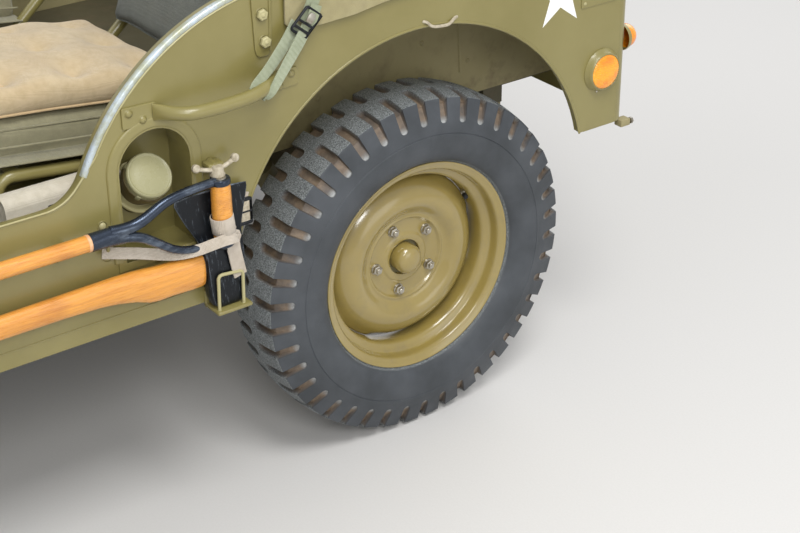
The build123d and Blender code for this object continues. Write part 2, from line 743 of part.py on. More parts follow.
# Floor with its step, and the boxes over the rear wheels
floor_under = FLOOR_Z - SHEET
side_in = BODY_X - SHEET
with BuildPart() as floor_pan:
    with BuildSketch(Plane.XY.offset(floor_under)):
        Polygon(
            (-side_in, BODY_FRONT_Y),
            (-side_in + 2 * SHEET, BODY_FRONT_Y),
            (-COWL_FRONT_X + 2 * SHEET, COWL_FRONT_Y + SHEET),
            (COWL_FRONT_X - 2 * SHEET, COWL_FRONT_Y + SHEET),
            (side_in - 2 * SHEET, BODY_FRONT_Y),
            (side_in, BODY_FRONT_Y),
            (side_in, HOUSE_FRONT_Y),
            (HOUSE_X, HOUSE_FRONT_Y),
            (HOUSE_X, REAR_FLOOR_Y),
            (-HOUSE_X, REAR_FLOOR_Y),
            (-HOUSE_X, HOUSE_FRONT_Y),
            (-side_in, HOUSE_FRONT_Y),
            align=None,
        )
    extrude(amount=SHEET)
    with Locations((0, REAR_FLOOR_Y, floor_under)):
        Box(2 * HOUSE_X, SHEET, REAR_FLOOR_Z - floor_under, align=(Align.CENTER, Align.MIN, Align.MIN))
    with Locations((0, REAR_FLOOR_Y, REAR_FLOOR_Z - SHEET)):
        Box(2 * HOUSE_X, BODY_REAR_Y - SHEET - REAR_FLOOR_Y, SHEET,
            align=(Align.CENTER, Align.MIN, Align.MIN))
    for cross_y in (-250, 300):
        with Locations((0, cross_y, RAIL_TOP_MID)):
            Box(2 * side_in, 50, floor_under - RAIL_TOP_MID, align=(Align.CENTER, Align.CENTER, Align.MIN))
    with Locations((0, 1250, RAIL_TOP_REAR)):
        Box(2 * HOUSE_X, 50, REAR_FLOOR_Z - SHEET - RAIL_TOP_REAR,
            align=(Align.CENTER, Align.CENTER, Align.MIN))
save(floor_pan.part, "floor_pan")

side_rear_y = BODY_REAR_Y - CORNER_R
house_r = ARCH_R + HOUSE_GAP
house_low_y = ARCH_Y - sqrt(house_r ** 2 - (FLOOR_Z - ARCH_Z) ** 2)
house_top_z = ARCH_Z + house_r
house_end_y = BODY_REAR_Y - SHEET
inner_r = house_r - SHEET
inner_low_y = ARCH_Y - sqrt(inner_r ** 2 - (FLOOR_Z - ARCH_Z) ** 2)
turn = radians(135)
house_mid = (ARCH_Y + house_r * cos(turn), ARCH_Z + house_r * sin(turn))
inner_mid = (ARCH_Y + inner_r * cos(turn), ARCH_Z + inner_r * sin(turn))
with BuildPart() as wheelhouses:
    for side in (1, -1):
        wall = Plane(origin=(side * HOUSE_X, 0, 0), x_dir=(0, 1, 0), z_dir=(1, 0, 0))
        with BuildSketch(wall):
            with BuildLine():
                ThreePointArc((house_low_y, FLOOR_Z), house_mid, (ARCH_Y, house_top_z))
                Polyline((ARCH_Y, house_top_z), (house_end_y, house_top_z), (house_end_y, REAR_FLOOR_Z),
                         (REAR_FLOOR_Y, REAR_FLOOR_Z), (REAR_FLOOR_Y, FLOOR_Z), (house_low_y, FLOOR_Z))
            make_face()
        extrude(amount=side * SHEET)
        with BuildSketch(wall) as shell:
            with BuildLine():
                ThreePointArc((house_low_y, FLOOR_Z), house_mid, (ARCH_Y, house_top_z))
                Polyline((ARCH_Y, house_top_z), (side_rear_y, house_top_z),
                         (side_rear_y, house_top_z - SHEET), (ARCH_Y, house_top_z - SHEET))
                ThreePointArc((ARCH_Y, house_top_z - SHEET), inner_mid, (inner_low_y, FLOOR_Z))
                Line((inner_low_y, FLOOR_Z), (house_low_y, FLOOR_Z))
            make_face()
        extrude(amount=side * (side_in - HOUSE_X))
        with Locations((side * HOUSE_X, side_rear_y, house_top_z)):
            Box(BODY_X - CORNER_R - HOUSE_X, house_end_y - side_rear_y, SHEET,
                align=(Align.MIN if side > 0 else Align.MAX, Align.MIN, Align.MAX))
save(wheelhouses.part, "wheelhouses")

# Body sides: sheet with the door opening and wheel arch, and a flange all round
door_arc_z = RAIL_Z - DOOR_ARC_R
fillet_z = DOOR_FLAT_Z + DOOR_FILLET_R
fillet_y = DOOR_ARC_Y - sqrt((DOOR_ARC_R + DOOR_FILLET_R) ** 2 - (fillet_z - door_arc_z) ** 2)
touch_share = DOOR_ARC_R / (DOOR_ARC_R + DOOR_FILLET_R)
touch_y = DOOR_ARC_Y + (fillet_y - DOOR_ARC_Y) * touch_share
touch_z = door_arc_z + (fillet_z - door_arc_z) * touch_share
arch_front_y = ARCH_Y - sqrt(ARCH_R ** 2 - (SILL_Z - ARCH_Z) ** 2)
arch_rear_y = ARCH_Y + sqrt(ARCH_R ** 2 - (REAR_EDGE_Z - ARCH_Z) ** 2)
half = sqrt(0.5)


def side_outline():
    """The edge of a body side, seen from outside, as lines and arcs."""
    with BuildLine() as outline:
        Line((BODY_FRONT_Y, SILL_Z), (arch_front_y, SILL_Z))
        ThreePointArc((arch_front_y, SILL_Z), (ARCH_Y, ARCH_Z + ARCH_R), (arch_rear_y, REAR_EDGE_Z))
        Polyline((arch_rear_y, REAR_EDGE_Z), (side_rear_y, REAR_EDGE_Z), (side_rear_y, RAIL_Z),
                 (DOOR_ARC_Y, RAIL_Z))
        mid_turn = (radians(90) + atan2(touch_z - door_arc_z, touch_y - DOOR_ARC_Y)) / 2
        ThreePointArc(
            (DOOR_ARC_Y, RAIL_Z),
            (DOOR_ARC_Y + DOOR_ARC_R * cos(mid_turn), door_arc_z + DOOR_ARC_R * sin(mid_turn)),
            (touch_y, touch_z),
        )
        low_turn = (atan2(touch_z - fillet_z, touch_y - fillet_y) - radians(90)) / 2
        ThreePointArc(
            (touch_y, touch_z),
            (fillet_y + DOOR_FILLET_R * cos(low_turn), fillet_z + DOOR_FILLET_R * sin(low_turn)),
            (fillet_y, DOOR_FLAT_Z),
        )
        front_arc_y = DOOR_FRONT_Y + DOOR_FRONT_R
        front_arc_z = DOOR_FLAT_Z + DOOR_FRONT_R
        Line((fillet_y, DOOR_FLAT_Z), (front_arc_y, DOOR_FLAT_Z))
        ThreePointArc(
            (front_arc_y, DOOR_FLAT_Z),
            (front_arc_y - DOOR_FRONT_R * half, front_arc_z - DOOR_FRONT_R * half),
            (DOOR_FRONT_Y, front_arc_z),
        )
        Polyline((DOOR_FRONT_Y, front_arc_z), (DOOR_FRONT_Y, COWL_Z), (BODY_FRONT_Y, COWL_Z),
                 (BODY_FRONT_Y, SILL_Z))
    return outline.line


def recess_outline(grow):
    """The filler recess, round at the top and straight below, grown by one amount."""
    half_w = RECESS_HALF_W + grow
    arc_z = FILLER_Z + RECESS_TOP - RECESS_HALF_W
    low_z = FILLER_Z - RECESS_BOTTOM - grow
    with BuildLine() as outline:
        ThreePointArc((FILLER_Y - half_w, arc_z), (FILLER_Y, arc_z + half_w), (FILLER_Y + half_w, arc_z))
        Polyline((FILLER_Y + half_w, arc_z), (FILLER_Y + half_w, low_z), (FILLER_Y - half_w, low_z),
                 (FILLER_Y - half_w, arc_z))
    return outline.line


def body_side(side):
    """One side of the open body. The left one holds the filler recess."""
    outer = Plane(origin=(side * BODY_X, 0, 0), x_dir=(0, 1, 0), z_dir=(1, 0, 0))
    with BuildPart() as panel:
        with BuildSketch(outer):
            with BuildLine():
                add(side_outline())
            make_face()
        extrude(amount=-side * SHEET)
        with BuildSketch(outer) as band:
            with BuildLine():
                add(side_outline())
            make_face()
            offset(amount=-SHEET, mode=Mode.SUBTRACT)
            for end_y in (BODY_FRONT_Y, side_rear_y):
                with Locations((end_y, RAIL_Z - 300)):
                    Rectangle(2 * SHEET, 700, mode=Mode.SUBTRACT)
        extrude(amount=-side * EDGE_FLANGE)
        if side > 0:
            with BuildSketch(outer):
                with BuildLine():
                    add(recess_outline(RECESS_BORDER))
                make_face()
            extrude(amount=RECESS_RAISE)
            with BuildSketch(outer):
                with BuildLine():
                    add(recess_outline(SHEET))
                make_face()
            extrude(amount=-RECESS_DEPTH)
            with BuildSketch(outer.offset(RECESS_RAISE)):
                with BuildLine():
                    add(recess_outline(0))
                make_face()
            extrude(amount=-RECESS_RAISE - RECESS_DEPTH + SHEET, mode=Mode.SUBTRACT)
            add(cylinder_between(neck_start, neck_end, NECK_R + 2), mode=Mode.SUBTRACT)
    return panel.part


# Fuel tank under the driver's seat, with its neck and cap in the recess
cap_out = Vector(sin(radians(CAP_TILT)), 0, cos(radians(CAP_TILT)))
cap_centre = Vector(BODY_X - 24, FILLER_Y - 3, FILLER_Z + 3)
neck_end = tuple(cap_centre - cap_out * 10)
neck_start = tuple(cap_centre - cap_out * 200)
TANK_TOP_Z = 665.0
with BuildPart() as fuel_tank:
    with Locations((SEAT_X, FILLER_Y - 40, FLOOR_Z)):
        Box(370, 260, TANK_TOP_Z - FLOOR_Z, align=(Align.CENTER, Align.CENTER, Align.MIN))
    fillet(fuel_tank.edges().filter_by(Axis.Z), 40)
    add(cylinder_between(neck_start, neck_end, NECK_R))
    with BuildSketch(Plane(origin=neck_end, z_dir=tuple(cap_out))):
        Circle(FILLER_CAP_R)
    extrude(amount=FILLER_CAP_H)
    fillet(fuel_tank.faces().sort_by(Axis((0, 0, 0), tuple(cap_out)))[-1].edges(), 6)
save(fuel_tank.part, "fuel_tank")

save(body_side(1), "body_side_left")
save(body_side(-1), "body_side_right")

# Rear panel with its rounded corners
with BuildPart() as rear_panel:
    mid = SHEET / 2
    with BuildSketch(Plane.XY.offset(REAR_EDGE_Z)):
        with BuildLine():
            FilletPolyline(
                (BODY_X - mid, side_rear_y),
                (BODY_X - mid, BODY_REAR_Y - mid),
                (-BODY_X + mid, BODY_REAR_Y - mid),
                (-BODY_X + mid, side_rear_y),
                radius=CORNER_R - mid - 0.01,
            )
        trace(line_width=SHEET)
    extrude(amount=RAIL_Z - REAR_EDGE_Z)
    with Locations((0, BODY_REAR_Y - SHEET, RAIL_Z)):
        Box(2 * (BODY_X - CORNER_R), EDGE_FLANGE - SHEET, SHEET, align=(Align.CENTER, Align.MAX, Align.MAX))
save(rear_panel.part, "rear_panel")

# Spare wheel carrier: a drum on the rear panel with a bolting flange
with BuildPart() as spare_carrier:
    with BuildSketch(Plane(origin=(SPARE_X, BODY_REAR_Y, SPARE_Z), z_dir=(0, 1, 0))):
        Circle(105)
    extrude(amount=8)
    with BuildSketch(Plane(origin=(SPARE_X, BODY_REAR_Y, SPARE_Z), z_dir=(0, 1, 0))):
        Circle(58)
    extrude(amount=SPARE_Y - BODY_REAR_Y)
    with BuildSketch(Plane(origin=(SPARE_X, SPARE_Y, SPARE_Z), z_dir=(0, -1, 0))):
        Circle(DISC_FLAT_R - 4)
    extrude(amount=8)
    with BuildSketch(Plane(origin=(SPARE_X, SPARE_Y, SPARE_Z), x_dir=(-1, 0, 0), z_dir=(0, 1, 0))):
        with PolarLocations(BOLT_PCD / 2, BOLT_COUNT):
            Circle(STUD_R)
    extrude(amount=STUD_L)
save(spare_carrier.part, "spare_carrier")

# Cowl: firewall, tapered sides, top and dash
hood_hinge_y = COWL_FRONT_Y - HOOD_GAP / 2
with BuildPart() as cowl:
    with BuildSketch(Plane.XY.offset(FLOOR_Z)):
        Polygon((-BODY_X, BODY_FRONT_Y), (-COWL_FRONT_X, COWL_FRONT_Y), (COWL_FRONT_X, COWL_FRONT_Y),
                (BODY_X, BODY_FRONT_Y), align=None)
    extrude(amount=COWL_Z - FLOOR_Z)
    with BuildSketch(Plane.XY.offset(FLOOR_Z)):
        Polygon((-BODY_X, BODY_FRONT_Y), (-COWL_FRONT_X, COWL_FRONT_Y), (COWL_FRONT_X, COWL_FRONT_Y),
                (BODY_X, BODY_FRONT_Y), align=None)
        offset(amount=-SHEET, mode=Mode.REPLACE)
    extrude(amount=COWL_Z - FLOOR_Z - SHEET, mode=Mode.SUBTRACT)
    with Locations((0, BODY_FRONT_Y, FLOOR_Z)):
        Box(2 * (BODY_X - 30), 4 * SHEET, DASH_BOTTOM_Z - FLOOR_Z,
            align=(Align.CENTER, Align.CENTER, Align.MIN), mode=Mode.SUBTRACT)
    add(cylinder_between((COLUMN_X, GEARBOX_Y, GEARBOX_Z), (COLUMN_X, HAND_WHEEL_Y, HAND_WHEEL_Z),
                         COLUMN_R + 1), mode=Mode.SUBTRACT)
    for centre in (-HOOD_HINGE_X, HOOD_HINGE_X):
        for end in (-1, 1):
            ear_x = centre + end * (HINGE_LUG / 2 + HINGE_GAP + HINGE_EAR / 2)
            with BuildSketch(Plane.YZ.offset(ear_x - HINGE_EAR / 2)):
                with Locations((hood_hinge_y, HOOD_HINGE_Z)):
                    Circle(HINGE_R)
                Polygon((COWL_FRONT_Y, COWL_Z), (COWL_FRONT_Y, HOOD_HINGE_Z + HINGE_R / 2),
                        (COWL_FRONT_Y + 40, COWL_Z), align=None)
            extrude(amount=HINGE_EAR)
        with BuildSketch(Plane.YZ.offset(centre - HINGE_LUG / 2 - HINGE_GAP)):
            with Locations((hood_hinge_y, HOOD_HINGE_Z)):
                Circle(HINGE_PIN_R)
        extrude(amount=HINGE_LUG + 2 * HINGE_GAP)
    for centre in (-SCREEN_HINGE_X, SCREEN_HINGE_X):
        for end in (-1, 1):
            ear_x = centre + end * (HINGE_LUG / 2 + HINGE_GAP + HINGE_EAR / 2)
            with BuildSketch(Plane.YZ.offset(ear_x - HINGE_EAR / 2)):
                with Locations((SCREEN_Y, SCREEN_HINGE_Z)):
                    Circle(SCREEN_HINGE_R)
                with Locations((SCREEN_Y, (COWL_Z + SCREEN_HINGE_Z) / 2)):
                    Rectangle(2 * SCREEN_HINGE_R, SCREEN_HINGE_Z - COWL_Z)
            extrude(amount=HINGE_EAR)
        with BuildSketch(Plane.YZ.offset(centre - HINGE_LUG / 2 - HINGE_GAP)):
            with Locations((SCREEN_Y, SCREEN_HINGE_Z)):
                Circle(HINGE_PIN_R)
        extrude(amount=HINGE_LUG + 2 * HINGE_GAP)
save(cowl.part, "cowl")

# Hood: a tapered lid between the cowl and the grille, open below
hood_rear_y = COWL_FRONT_Y - HOOD_GAP


def hood_section(y, half_width, top_z, cut):
    """One cross section of the hood, made smaller all round by cut."""
    radius = HOOD_EDGE_R - cut
    width = half_width - cut
    top = top_z - cut
    bottom = HOOD_SKIRT_Z - (10 if cut else 0)
    with BuildSketch(Plane(origin=(0, y, 0), x_dir=(1, 0, 0), z_dir=(0, -1, 0))) as section:
        with BuildLine():
            Polyline((width, top - radius), (width, bottom), (-width, bottom), (-width, top - radius))
            ThreePointArc((-width, top - radius), (-width + radius * (1 - half), top - radius * (1 - half)),
                          (-width + radius, top))
            Line((-width + radius, top), (width - radius, top))
            ThreePointArc((width - radius, top), (width - radius * (1 - half), top - radius * (1 - half)),
                          (width, top - radius))
        make_face()
    return section.sketch.face()


hood_fall = (COWL_Z - HOOD_FRONT_Z) / (hood_rear_y - HOOD_FRONT_Y)
rest_y = SCREEN_Y - SCREEN_H + SCREEN_BELOW + SCREEN_BAR / 2
rest_top_z = SCREEN_HINGE_Z - SCREEN_T / 2 - REST_GAP
rest_low_z = COWL_Z - hood_fall * (hood_rear_y - rest_y) - SHEET
with BuildPart() as hood:
    loft([hood_section(hood_rear_y, COWL_FRONT_X, COWL_Z, 0),
          hood_section(HOOD_FRONT_Y, HOOD_FRONT_X, HOOD_FRONT_Z, 0)], ruled=True)
    loft([hood_section(hood_rear_y, COWL_FRONT_X, COWL_Z, SHEET),
          hood_section(HOOD_FRONT_Y, HOOD_FRONT_X, HOOD_FRONT_Z, SHEET)], ruled=True, mode=Mode.SUBTRACT)
    for centre in (-HOOD_HINGE_X, HOOD_HINGE_X):
        with BuildSketch(Plane.YZ.offset(centre - HINGE_LUG / 2)):
            with Locations((hood_hinge_y, HOOD_HINGE_Z)):
                Circle(HINGE_R)
            Polygon((hood_hinge_y, HOOD_HINGE_Z + HINGE_R), (hood_rear_y - 40, COWL_Z - SHEET),
                    (hood_rear_y, COWL_Z - SHEET), (hood_rear_y, HOOD_HINGE_Z), align=None)
            with Locations((hood_hinge_y, HOOD_HINGE_Z)):
                Circle(HINGE_PIN_R + BEARING_GAP, mode=Mode.SUBTRACT)
        extrude(amount=HINGE_LUG)
    for side in (1, -1):
        with Locations((side * REST_X, rest_y, rest_top_z)):
            Box(90, 32, rest_top_z - rest_low_z, align=(Align.CENTER, Align.CENTER, Align.MAX))
save(hood.part, "hood")

# Front fenders: flat top with a lip, sloped foot and inner apron
with BuildPart() as front_fenders:
    for side in (1, -1):
        inner = Plane(origin=(side * APRON_X, 0, 0), x_dir=(0, 1, 0), z_dir=(1, 0, 0))
        with BuildSketch(inner):
            with BuildLine():
                FilletPolyline(
                    (FENDER_FRONT_Y, FENDER_Z - 90),
                    (FENDER_FRONT_Y, FENDER_Z),
                    (FENDER_KNEE_Y, FENDER_Z),
                    (FENDER_FOOT_Y, FLOOR_Z),
                    radius=45,
                )
            trace(line_width=SHEET)
        extrude(amount=side * (FENDER_X - APRON_X))
        with BuildSketch(Plane(origin=(side * FENDER_X, 0, 0), x_dir=(0, 1, 0), z_dir=(1, 0, 0))):
            with BuildLine():
                FilletPolyline(
                    (FENDER_FRONT_Y + 15, FENDER_Z - 90),
                    (FENDER_FRONT_Y + 15, FENDER_Z - FENDER_LIP / 2),
                    (FENDER_KNEE_Y - 6, FENDER_Z - FENDER_LIP / 2),
                    (FENDER_FOOT_Y - 15, FLOOR_Z),
                    radius=30,
                )
            trace(line_width=FENDER_LIP)
        extrude(amount=-side * SHEET)
        with BuildSketch(inner):
            Polygon(
                (HOOD_FRONT_Y - 6, RAIL_TOP_FRONT + 2),
                (-700, RAIL_TOP_FRONT + 2),
                (COWL_FRONT_Y - SOFT_GAP, RAIL_TOP_FRONT + 60),
                (COWL_FRONT_Y - SOFT_GAP, HOOD_SKIRT_Z - 14),
                (HOOD_FRONT_Y - 6, HOOD_SKIRT_Z - 14),
                align=None,
            )
        extrude(amount=side * SHEET)
    with BuildSketch(Plane.XY.offset(FLOOR_Z)):
        Polygon(
            (-BODY_X - SOFT_GAP, BODY_FRONT_Y + 60),
            (-BODY_X - SOFT_GAP, BODY_FRONT_Y - SOFT_GAP),
            (-COWL_FRONT_X - SOFT_GAP, COWL_FRONT_Y - SOFT_GAP),
            (COWL_FRONT_X + SOFT_GAP, COWL_FRONT_Y - SOFT_GAP),
            (BODY_X + SOFT_GAP, BODY_FRONT_Y - SOFT_GAP),
            (BODY_X + SOFT_GAP, BODY_FRONT_Y + 60),
            align=None,
        )
    extrude(amount=COWL_Z, both=True, mode=Mode.SUBTRACT)
    with Locations((0, GRILLE_Y - GRILLE_T / 2, GRILLE_BOTTOM_Z)):
        Box(2 * (GRILLE_HALF + SOFT_GAP), GRILLE_T + 2 * SOFT_GAP, COWL_Z,
            align=(Align.CENTER, Align.CENTER, Align.MIN), mode=Mode.SUBTRACT)
save(front_fenders.part, "front_fenders")

# Grille of upright flat bars in a frame with two lamp openings
with BuildPart() as grille:
    face = Plane(origin=(0, GRILLE_Y, 0), x_dir=(1, 0, 0), z_dir=(0, -1, 0))
    with BuildSketch(face):
        with BuildLine():
            FilletPolyline(
                (-GRILLE_FOOT_HALF, GRILLE_BOTTOM_Z),
                (-GRILLE_HALF, GRILLE_WAIST_Z),
                (-GRILLE_HALF + 40, GRILLE_TOP_Z),
                (GRILLE_HALF - 40, GRILLE_TOP_Z),
                (GRILLE_HALF, GRILLE_WAIST_Z),
                (GRILLE_FOOT_HALF, GRILLE_BOTTOM_Z),
                radius=(40, 80, 80, 40),
            )
            Line((GRILLE_FOOT_HALF, GRILLE_BOTTOM_Z), (-GRILLE_FOOT_HALF, GRILLE_BOTTOM_Z))
        make_face()
        with Locations((0, (GRILLE_BOTTOM_Z + GRILLE_TOP_Z) / 2)):
            Rectangle(2 * GRILLE_OPEN_HALF, GRILLE_TOP_Z - GRILLE_BOTTOM_Z - 90, mode=Mode.SUBTRACT)
        with Locations((-LAMP_X, LAMP_Z), (LAMP_X, LAMP_Z)):
            Circle(LAMP_R + 4, mode=Mode.SUBTRACT)
    extrude(amount=GRILLE_T)
    with BuildSketch(face):
        with Locations((0, (GRILLE_BOTTOM_Z + GRILLE_TOP_Z) / 2)):
            with GridLocations(2 * GRILLE_OPEN_HALF / (GRILLE_BARS + 1), 0, GRILLE_BARS, 1):
                Rectangle(GRILLE_BAR_W, GRILLE_TOP_Z - GRILLE_BOTTOM_Z - 80)
    extrude(amount=GRILLE_T)
save(grille.part, "grille")

# Headlamps behind the grille, on brackets from the fenders' aprons
with BuildPart() as headlamps:
    for side in (1, -1):
        with BuildSketch(Plane(origin=(side * LAMP_X, GRILLE_Y - 2, LAMP_Z), z_dir=(0, -1, 0))):
            Circle(LAMP_R)
        extrude(amount=-70)
        with BuildSketch(Plane(origin=(side * LAMP_X, GRILLE_Y + 68, LAMP_Z), z_dir=(0, 1, 0))):
            Circle(LAMP_R)
        extrude(amount=40, taper=45)
        with Locations((side * (LAMP_X + 30), GRILLE_Y + 30, LAMP_Z - 60)):
            Box(APRON_X - LAMP_X - 30, 24, 20,
                align=(Align.MIN if side > 0 else Align.MAX, Align.CENTER, Align.CENTER))
save(headlamps.part, "headlamps")

# Windshield frame and its two panes, raked about the hinge line
screen_plane = Plane(
    origin=(0, SCREEN_Y, SCREEN_HINGE_Z),
    x_dir=(1, 0, 0),
    z_dir=(0, -cos(radians(SCREEN_RAKE)), sin(radians(SCREEN_RAKE))),
)
hinge_span = HINGE_LUG + 2 * HINGE_GAP + 2 * HINGE_EAR
pane_w = SCREEN_HALF - 1.5 * SCREEN_BAR
pane_h = SCREEN_H - SCREEN_LOWER - SCREEN_BAR
pane_mid = SCREEN_LOWER - SCREEN_BELOW + pane_h / 2
pane_spots = [(-(pane_w / 2 + SCREEN_BAR / 2), pane_mid), (pane_w / 2 + SCREEN_BAR / 2, pane_mid)]
with BuildPart() as windshield_frame:
    with BuildSketch(screen_plane):
        with Locations((0, SCREEN_H / 2 - SCREEN_BELOW)):
            RectangleRounded(2 * SCREEN_HALF, SCREEN_H, SCREEN_CORNER_R)
        with Locations(*pane_spots):
            RectangleRounded(pane_w, pane_h, 20, mode=Mode.SUBTRACT)
        with Locations((-SCREEN_HINGE_X, HINGE_NOTCH), (SCREEN_HINGE_X, HINGE_NOTCH)):
            Rectangle(hinge_span + 10, HINGE_NOTCH + 2 * SCREEN_BELOW, align=(Align.CENTER, Align.MAX),
                      mode=Mode.SUBTRACT)
    extrude(amount=SCREEN_T / 2, both=True)
    with BuildSketch(screen_plane.offset(-SCREEN_T / 2)):
        with Locations((0, SCREEN_LOWER / 2 + HINGE_NOTCH / 2)):
            Rectangle(2 * (SCREEN_HALF - 3 * SCREEN_BAR), SCREEN_LOWER - 70)
    extrude(amount=SCREEN_T - 6, mode=Mode.SUBTRACT)
    for centre in (-SCREEN_HINGE_X, SCREEN_HINGE_X):
        lug_x = centre - HINGE_LUG / 2
        with BuildSketch(Plane(origin=(lug_x, SCREEN_Y, SCREEN_HINGE_Z), x_dir=(0, 1, 0), z_dir=(1, 0, 0))):
            Circle(SCREEN_HINGE_R)
            with Locations((0, (HINGE_NOTCH + 6) / 2)):
                Rectangle(16, HINGE_NOTCH + 6)
            Circle(HINGE_PIN_R + BEARING_GAP, mode=Mode.SUBTRACT)
        extrude(amount=HINGE_LUG)
save(windshield_frame.part, "windshield_frame")

with BuildPart() as windshield_glass:
    with BuildSketch(screen_plane.offset(-GLASS_T / 2)):
        with Locations(*pane_spots):
            RectangleRounded(pane_w, pane_h, 20)
    extrude(amount=GLASS_T)
save(windshield_glass.part, "windshield_glass")

# Steering column and steering wheel
column_axis = Vector(0, HAND_WHEEL_Y - GEARBOX_Y, HAND_WHEEL_Z - GEARBOX_Z)
column_dir = column_axis.normalized()
hand_centre = Vector(COLUMN_X, HAND_WHEEL_Y, HAND_WHEEL_Z)
column_top = hand_centre - column_dir * COLUMN_DROP
shaft_end = hand_centre - column_dir * SHAFT_L
with BuildPart() as steering_column:
    add(cylinder_between((COLUMN_X, GEARBOX_Y, GEARBOX_Z), tuple(column_top), COLUMN_R))
    with Locations((COLUMN_X, GEARBOX_Y, GEARBOX_Z)):
        Box(70, 110, 90)
    with Locations((RAIL_IN + RAIL_W / 2, GEARBOX_Y, RAIL_TOP_FRONT)):
        Box(RAIL_W, 80, GEARBOX_Z - RAIL_TOP_FRONT, align=(Align.CENTER, Align.CENTER, Align.MIN))
    add(cylinder_between(tuple(shaft_end - column_dir * SPINDLE_END_GAP), tuple(column_top),
                         SHAFT_TURN_R + BEARING_GAP), mode=Mode.SUBTRACT)
save(steering_column.part, "steering_column")

with BuildPart() as steering_wheel:
    wheel_plane = Plane(origin=(COLUMN_X, HAND_WHEEL_Y, HAND_WHEEL_Z), x_dir=(1, 0, 0),
                        z_dir=tuple(column_dir))
    with BuildSketch(Plane(origin=wheel_plane.origin, x_dir=(1, 0, 0), z_dir=tuple(wheel_plane.y_dir))):
        with Locations((HAND_WHEEL_R - HAND_RIM_R, 0)):
            Circle(HAND_RIM_R)
    revolve(axis=Axis(wheel_plane.origin, tuple(column_dir)))
    with BuildSketch(wheel_plane.offset(-COLUMN_DROP + 6)):
        Circle(30)
    extrude(amount=COLUMN_DROP)
    with BuildSketch(wheel_plane.offset(-6)):
        with PolarLocations((HAND_WHEEL_R - HAND_RIM_R) / 2, 3, start_angle=90):
            Rectangle(HAND_WHEEL_R - HAND_RIM_R, 24)
    extrude(amount=8)
    with BuildSketch(wheel_plane.offset(-SHAFT_L)):
        Circle(SHAFT_TURN_R)
    extrude(amount=SHAFT_L)
save(steering_wheel.part, "steering_wheel")

# Planes of the seats: the pads lie on a plane that falls to the rear, the backs lean away from it
tilt_up = Vector(0, sin(radians(SEAT_TILT)), cos(radians(SEAT_TILT)))
tilt_along = Vector(0, cos(radians(SEAT_TILT)), -sin(radians(SEAT_TILT)))
back_up = Vector(0, sin(radians(BACK_LEAN)), cos(radians(BACK_LEAN)))
back_along = Vector(0, cos(radians(BACK_LEAN)), -sin(radians(BACK_LEAN)))
front_top = Vector(0, SEAT_FRONT_Y, SEAT_FRONT_Z)
pad_origin = front_top - tilt_up * CUSHION_T
tube_line = pad_origin - tilt_up * (CROSS_TUBE_R + SOFT_GAP)
run_start = tube_line + tilt_along * 30
run_end = tube_line + tilt_along * (SEAT_DEPTH - 25)
back_line = Vector(0, BACK_Y, BACK_Z) + back_along * (BACK_T + CROSS_TUBE_R + SOFT_GAP)
back_low = back_line + back_up * 20
back_high = back_line + back_up * (BACK_H - 20)
rear_tube_z = REAR_SEAT_Z - CUSHION_T - TUBE_R - SOFT_GAP
rear_back_y = REAR_SEAT_Y + REAR_SEAT_DEPTH + 10
rear_tube_y = rear_back_y + REAR_BACK_T + TUBE_R + SOFT_GAP
rear_tube_x = REAR_SEAT_HALF - 60


def cross_tube(half_length, centre_x, spot):
    """A tube straight across the car at one spot of the side view."""
    start = (centre_x - half_length, spot.Y, spot.Z)
    end = (centre_x + half_length, spot.Y, spot.Z)
    return cylinder_between(start, end, CROSS_TUBE_R)


with BuildPart() as seat_frames:
    for centre in (SEAT_X, -SEAT_X):
        tube_half = SEAT_HALF + TUBE_R + SOFT_GAP
        for edge in (-1, 1):
            tube_x = centre + edge * tube_half
            add(bent_tube([
                (tube_x, run_start.Y, FLOOR_Z),
                (tube_x, run_start.Y, run_start.Z),
                (tube_x, run_end.Y, run_end.Z),
                (tube_x, back_low.Y, back_low.Z),
                (tube_x, back_high.Y, back_high.Z),
            ], 28, TUBE_R))
            leg_z = run_start.Z - (SEAT_LEG_Y - run_start.Y) * sin(radians(SEAT_TILT))
            add(cylinder_between((tube_x, SEAT_LEG_Y, FLOOR_Z), (tube_x, SEAT_LEG_Y, leg_z), CROSS_TUBE_R))
        for spot in (run_start + tilt_along * 40, run_end - tilt_along * 50,
                     back_low + back_up * 30, back_high - back_up * 4):
            add(cross_tube(tube_half, centre, spot))
    for edge in (-1, 1):
        tube_x = edge * rear_tube_x
        add(bent_tube([
            (tube_x, REAR_SEAT_Y + 30, REAR_FLOOR_Z),
            (tube_x, REAR_SEAT_Y + 30, rear_tube_z),
            (tube_x, rear_tube_y, rear_tube_z),
            (tube_x, rear_tube_y, REAR_SEAT_Z + REAR_BACK_H - 30),
        ], 28, TUBE_R))
        leg_y = REAR_SEAT_Y + REAR_SEAT_DEPTH - 30
        add(cylinder_between((tube_x, leg_y, REAR_FLOOR_Z), (tube_x, leg_y, rear_tube_z), CROSS_TUBE_R))
    for spot in (Vector(0, REAR_SEAT_Y + 80, rear_tube_z),
                 Vector(0, rear_tube_y, REAR_SEAT_Z + REAR_BACK_H - 45)):
        add(cross_tube(rear_tube_x, 0, spot))
save(seat_frames.part, "seat_frames")


def tilted_pad(origin, tilt, width, depth, height, radius):
    """A plain pad with rounded upright edges, lying on a plane tilted about x."""
    up = (0, sin(radians(tilt)), cos(radians(tilt)))
    with BuildPart() as pad:
        with BuildSketch(Plane(origin=origin, x_dir=(1, 0, 0), z_dir=up)):
            RectangleRounded(width, depth, radius, align=(Align.CENTER, Align.MIN))
        extrude(amount=height)
        fillet(pad.edges().group_by(Axis((0, 0, 0), up))[-1], min(radius, height) * 0.35)
    return pad.part


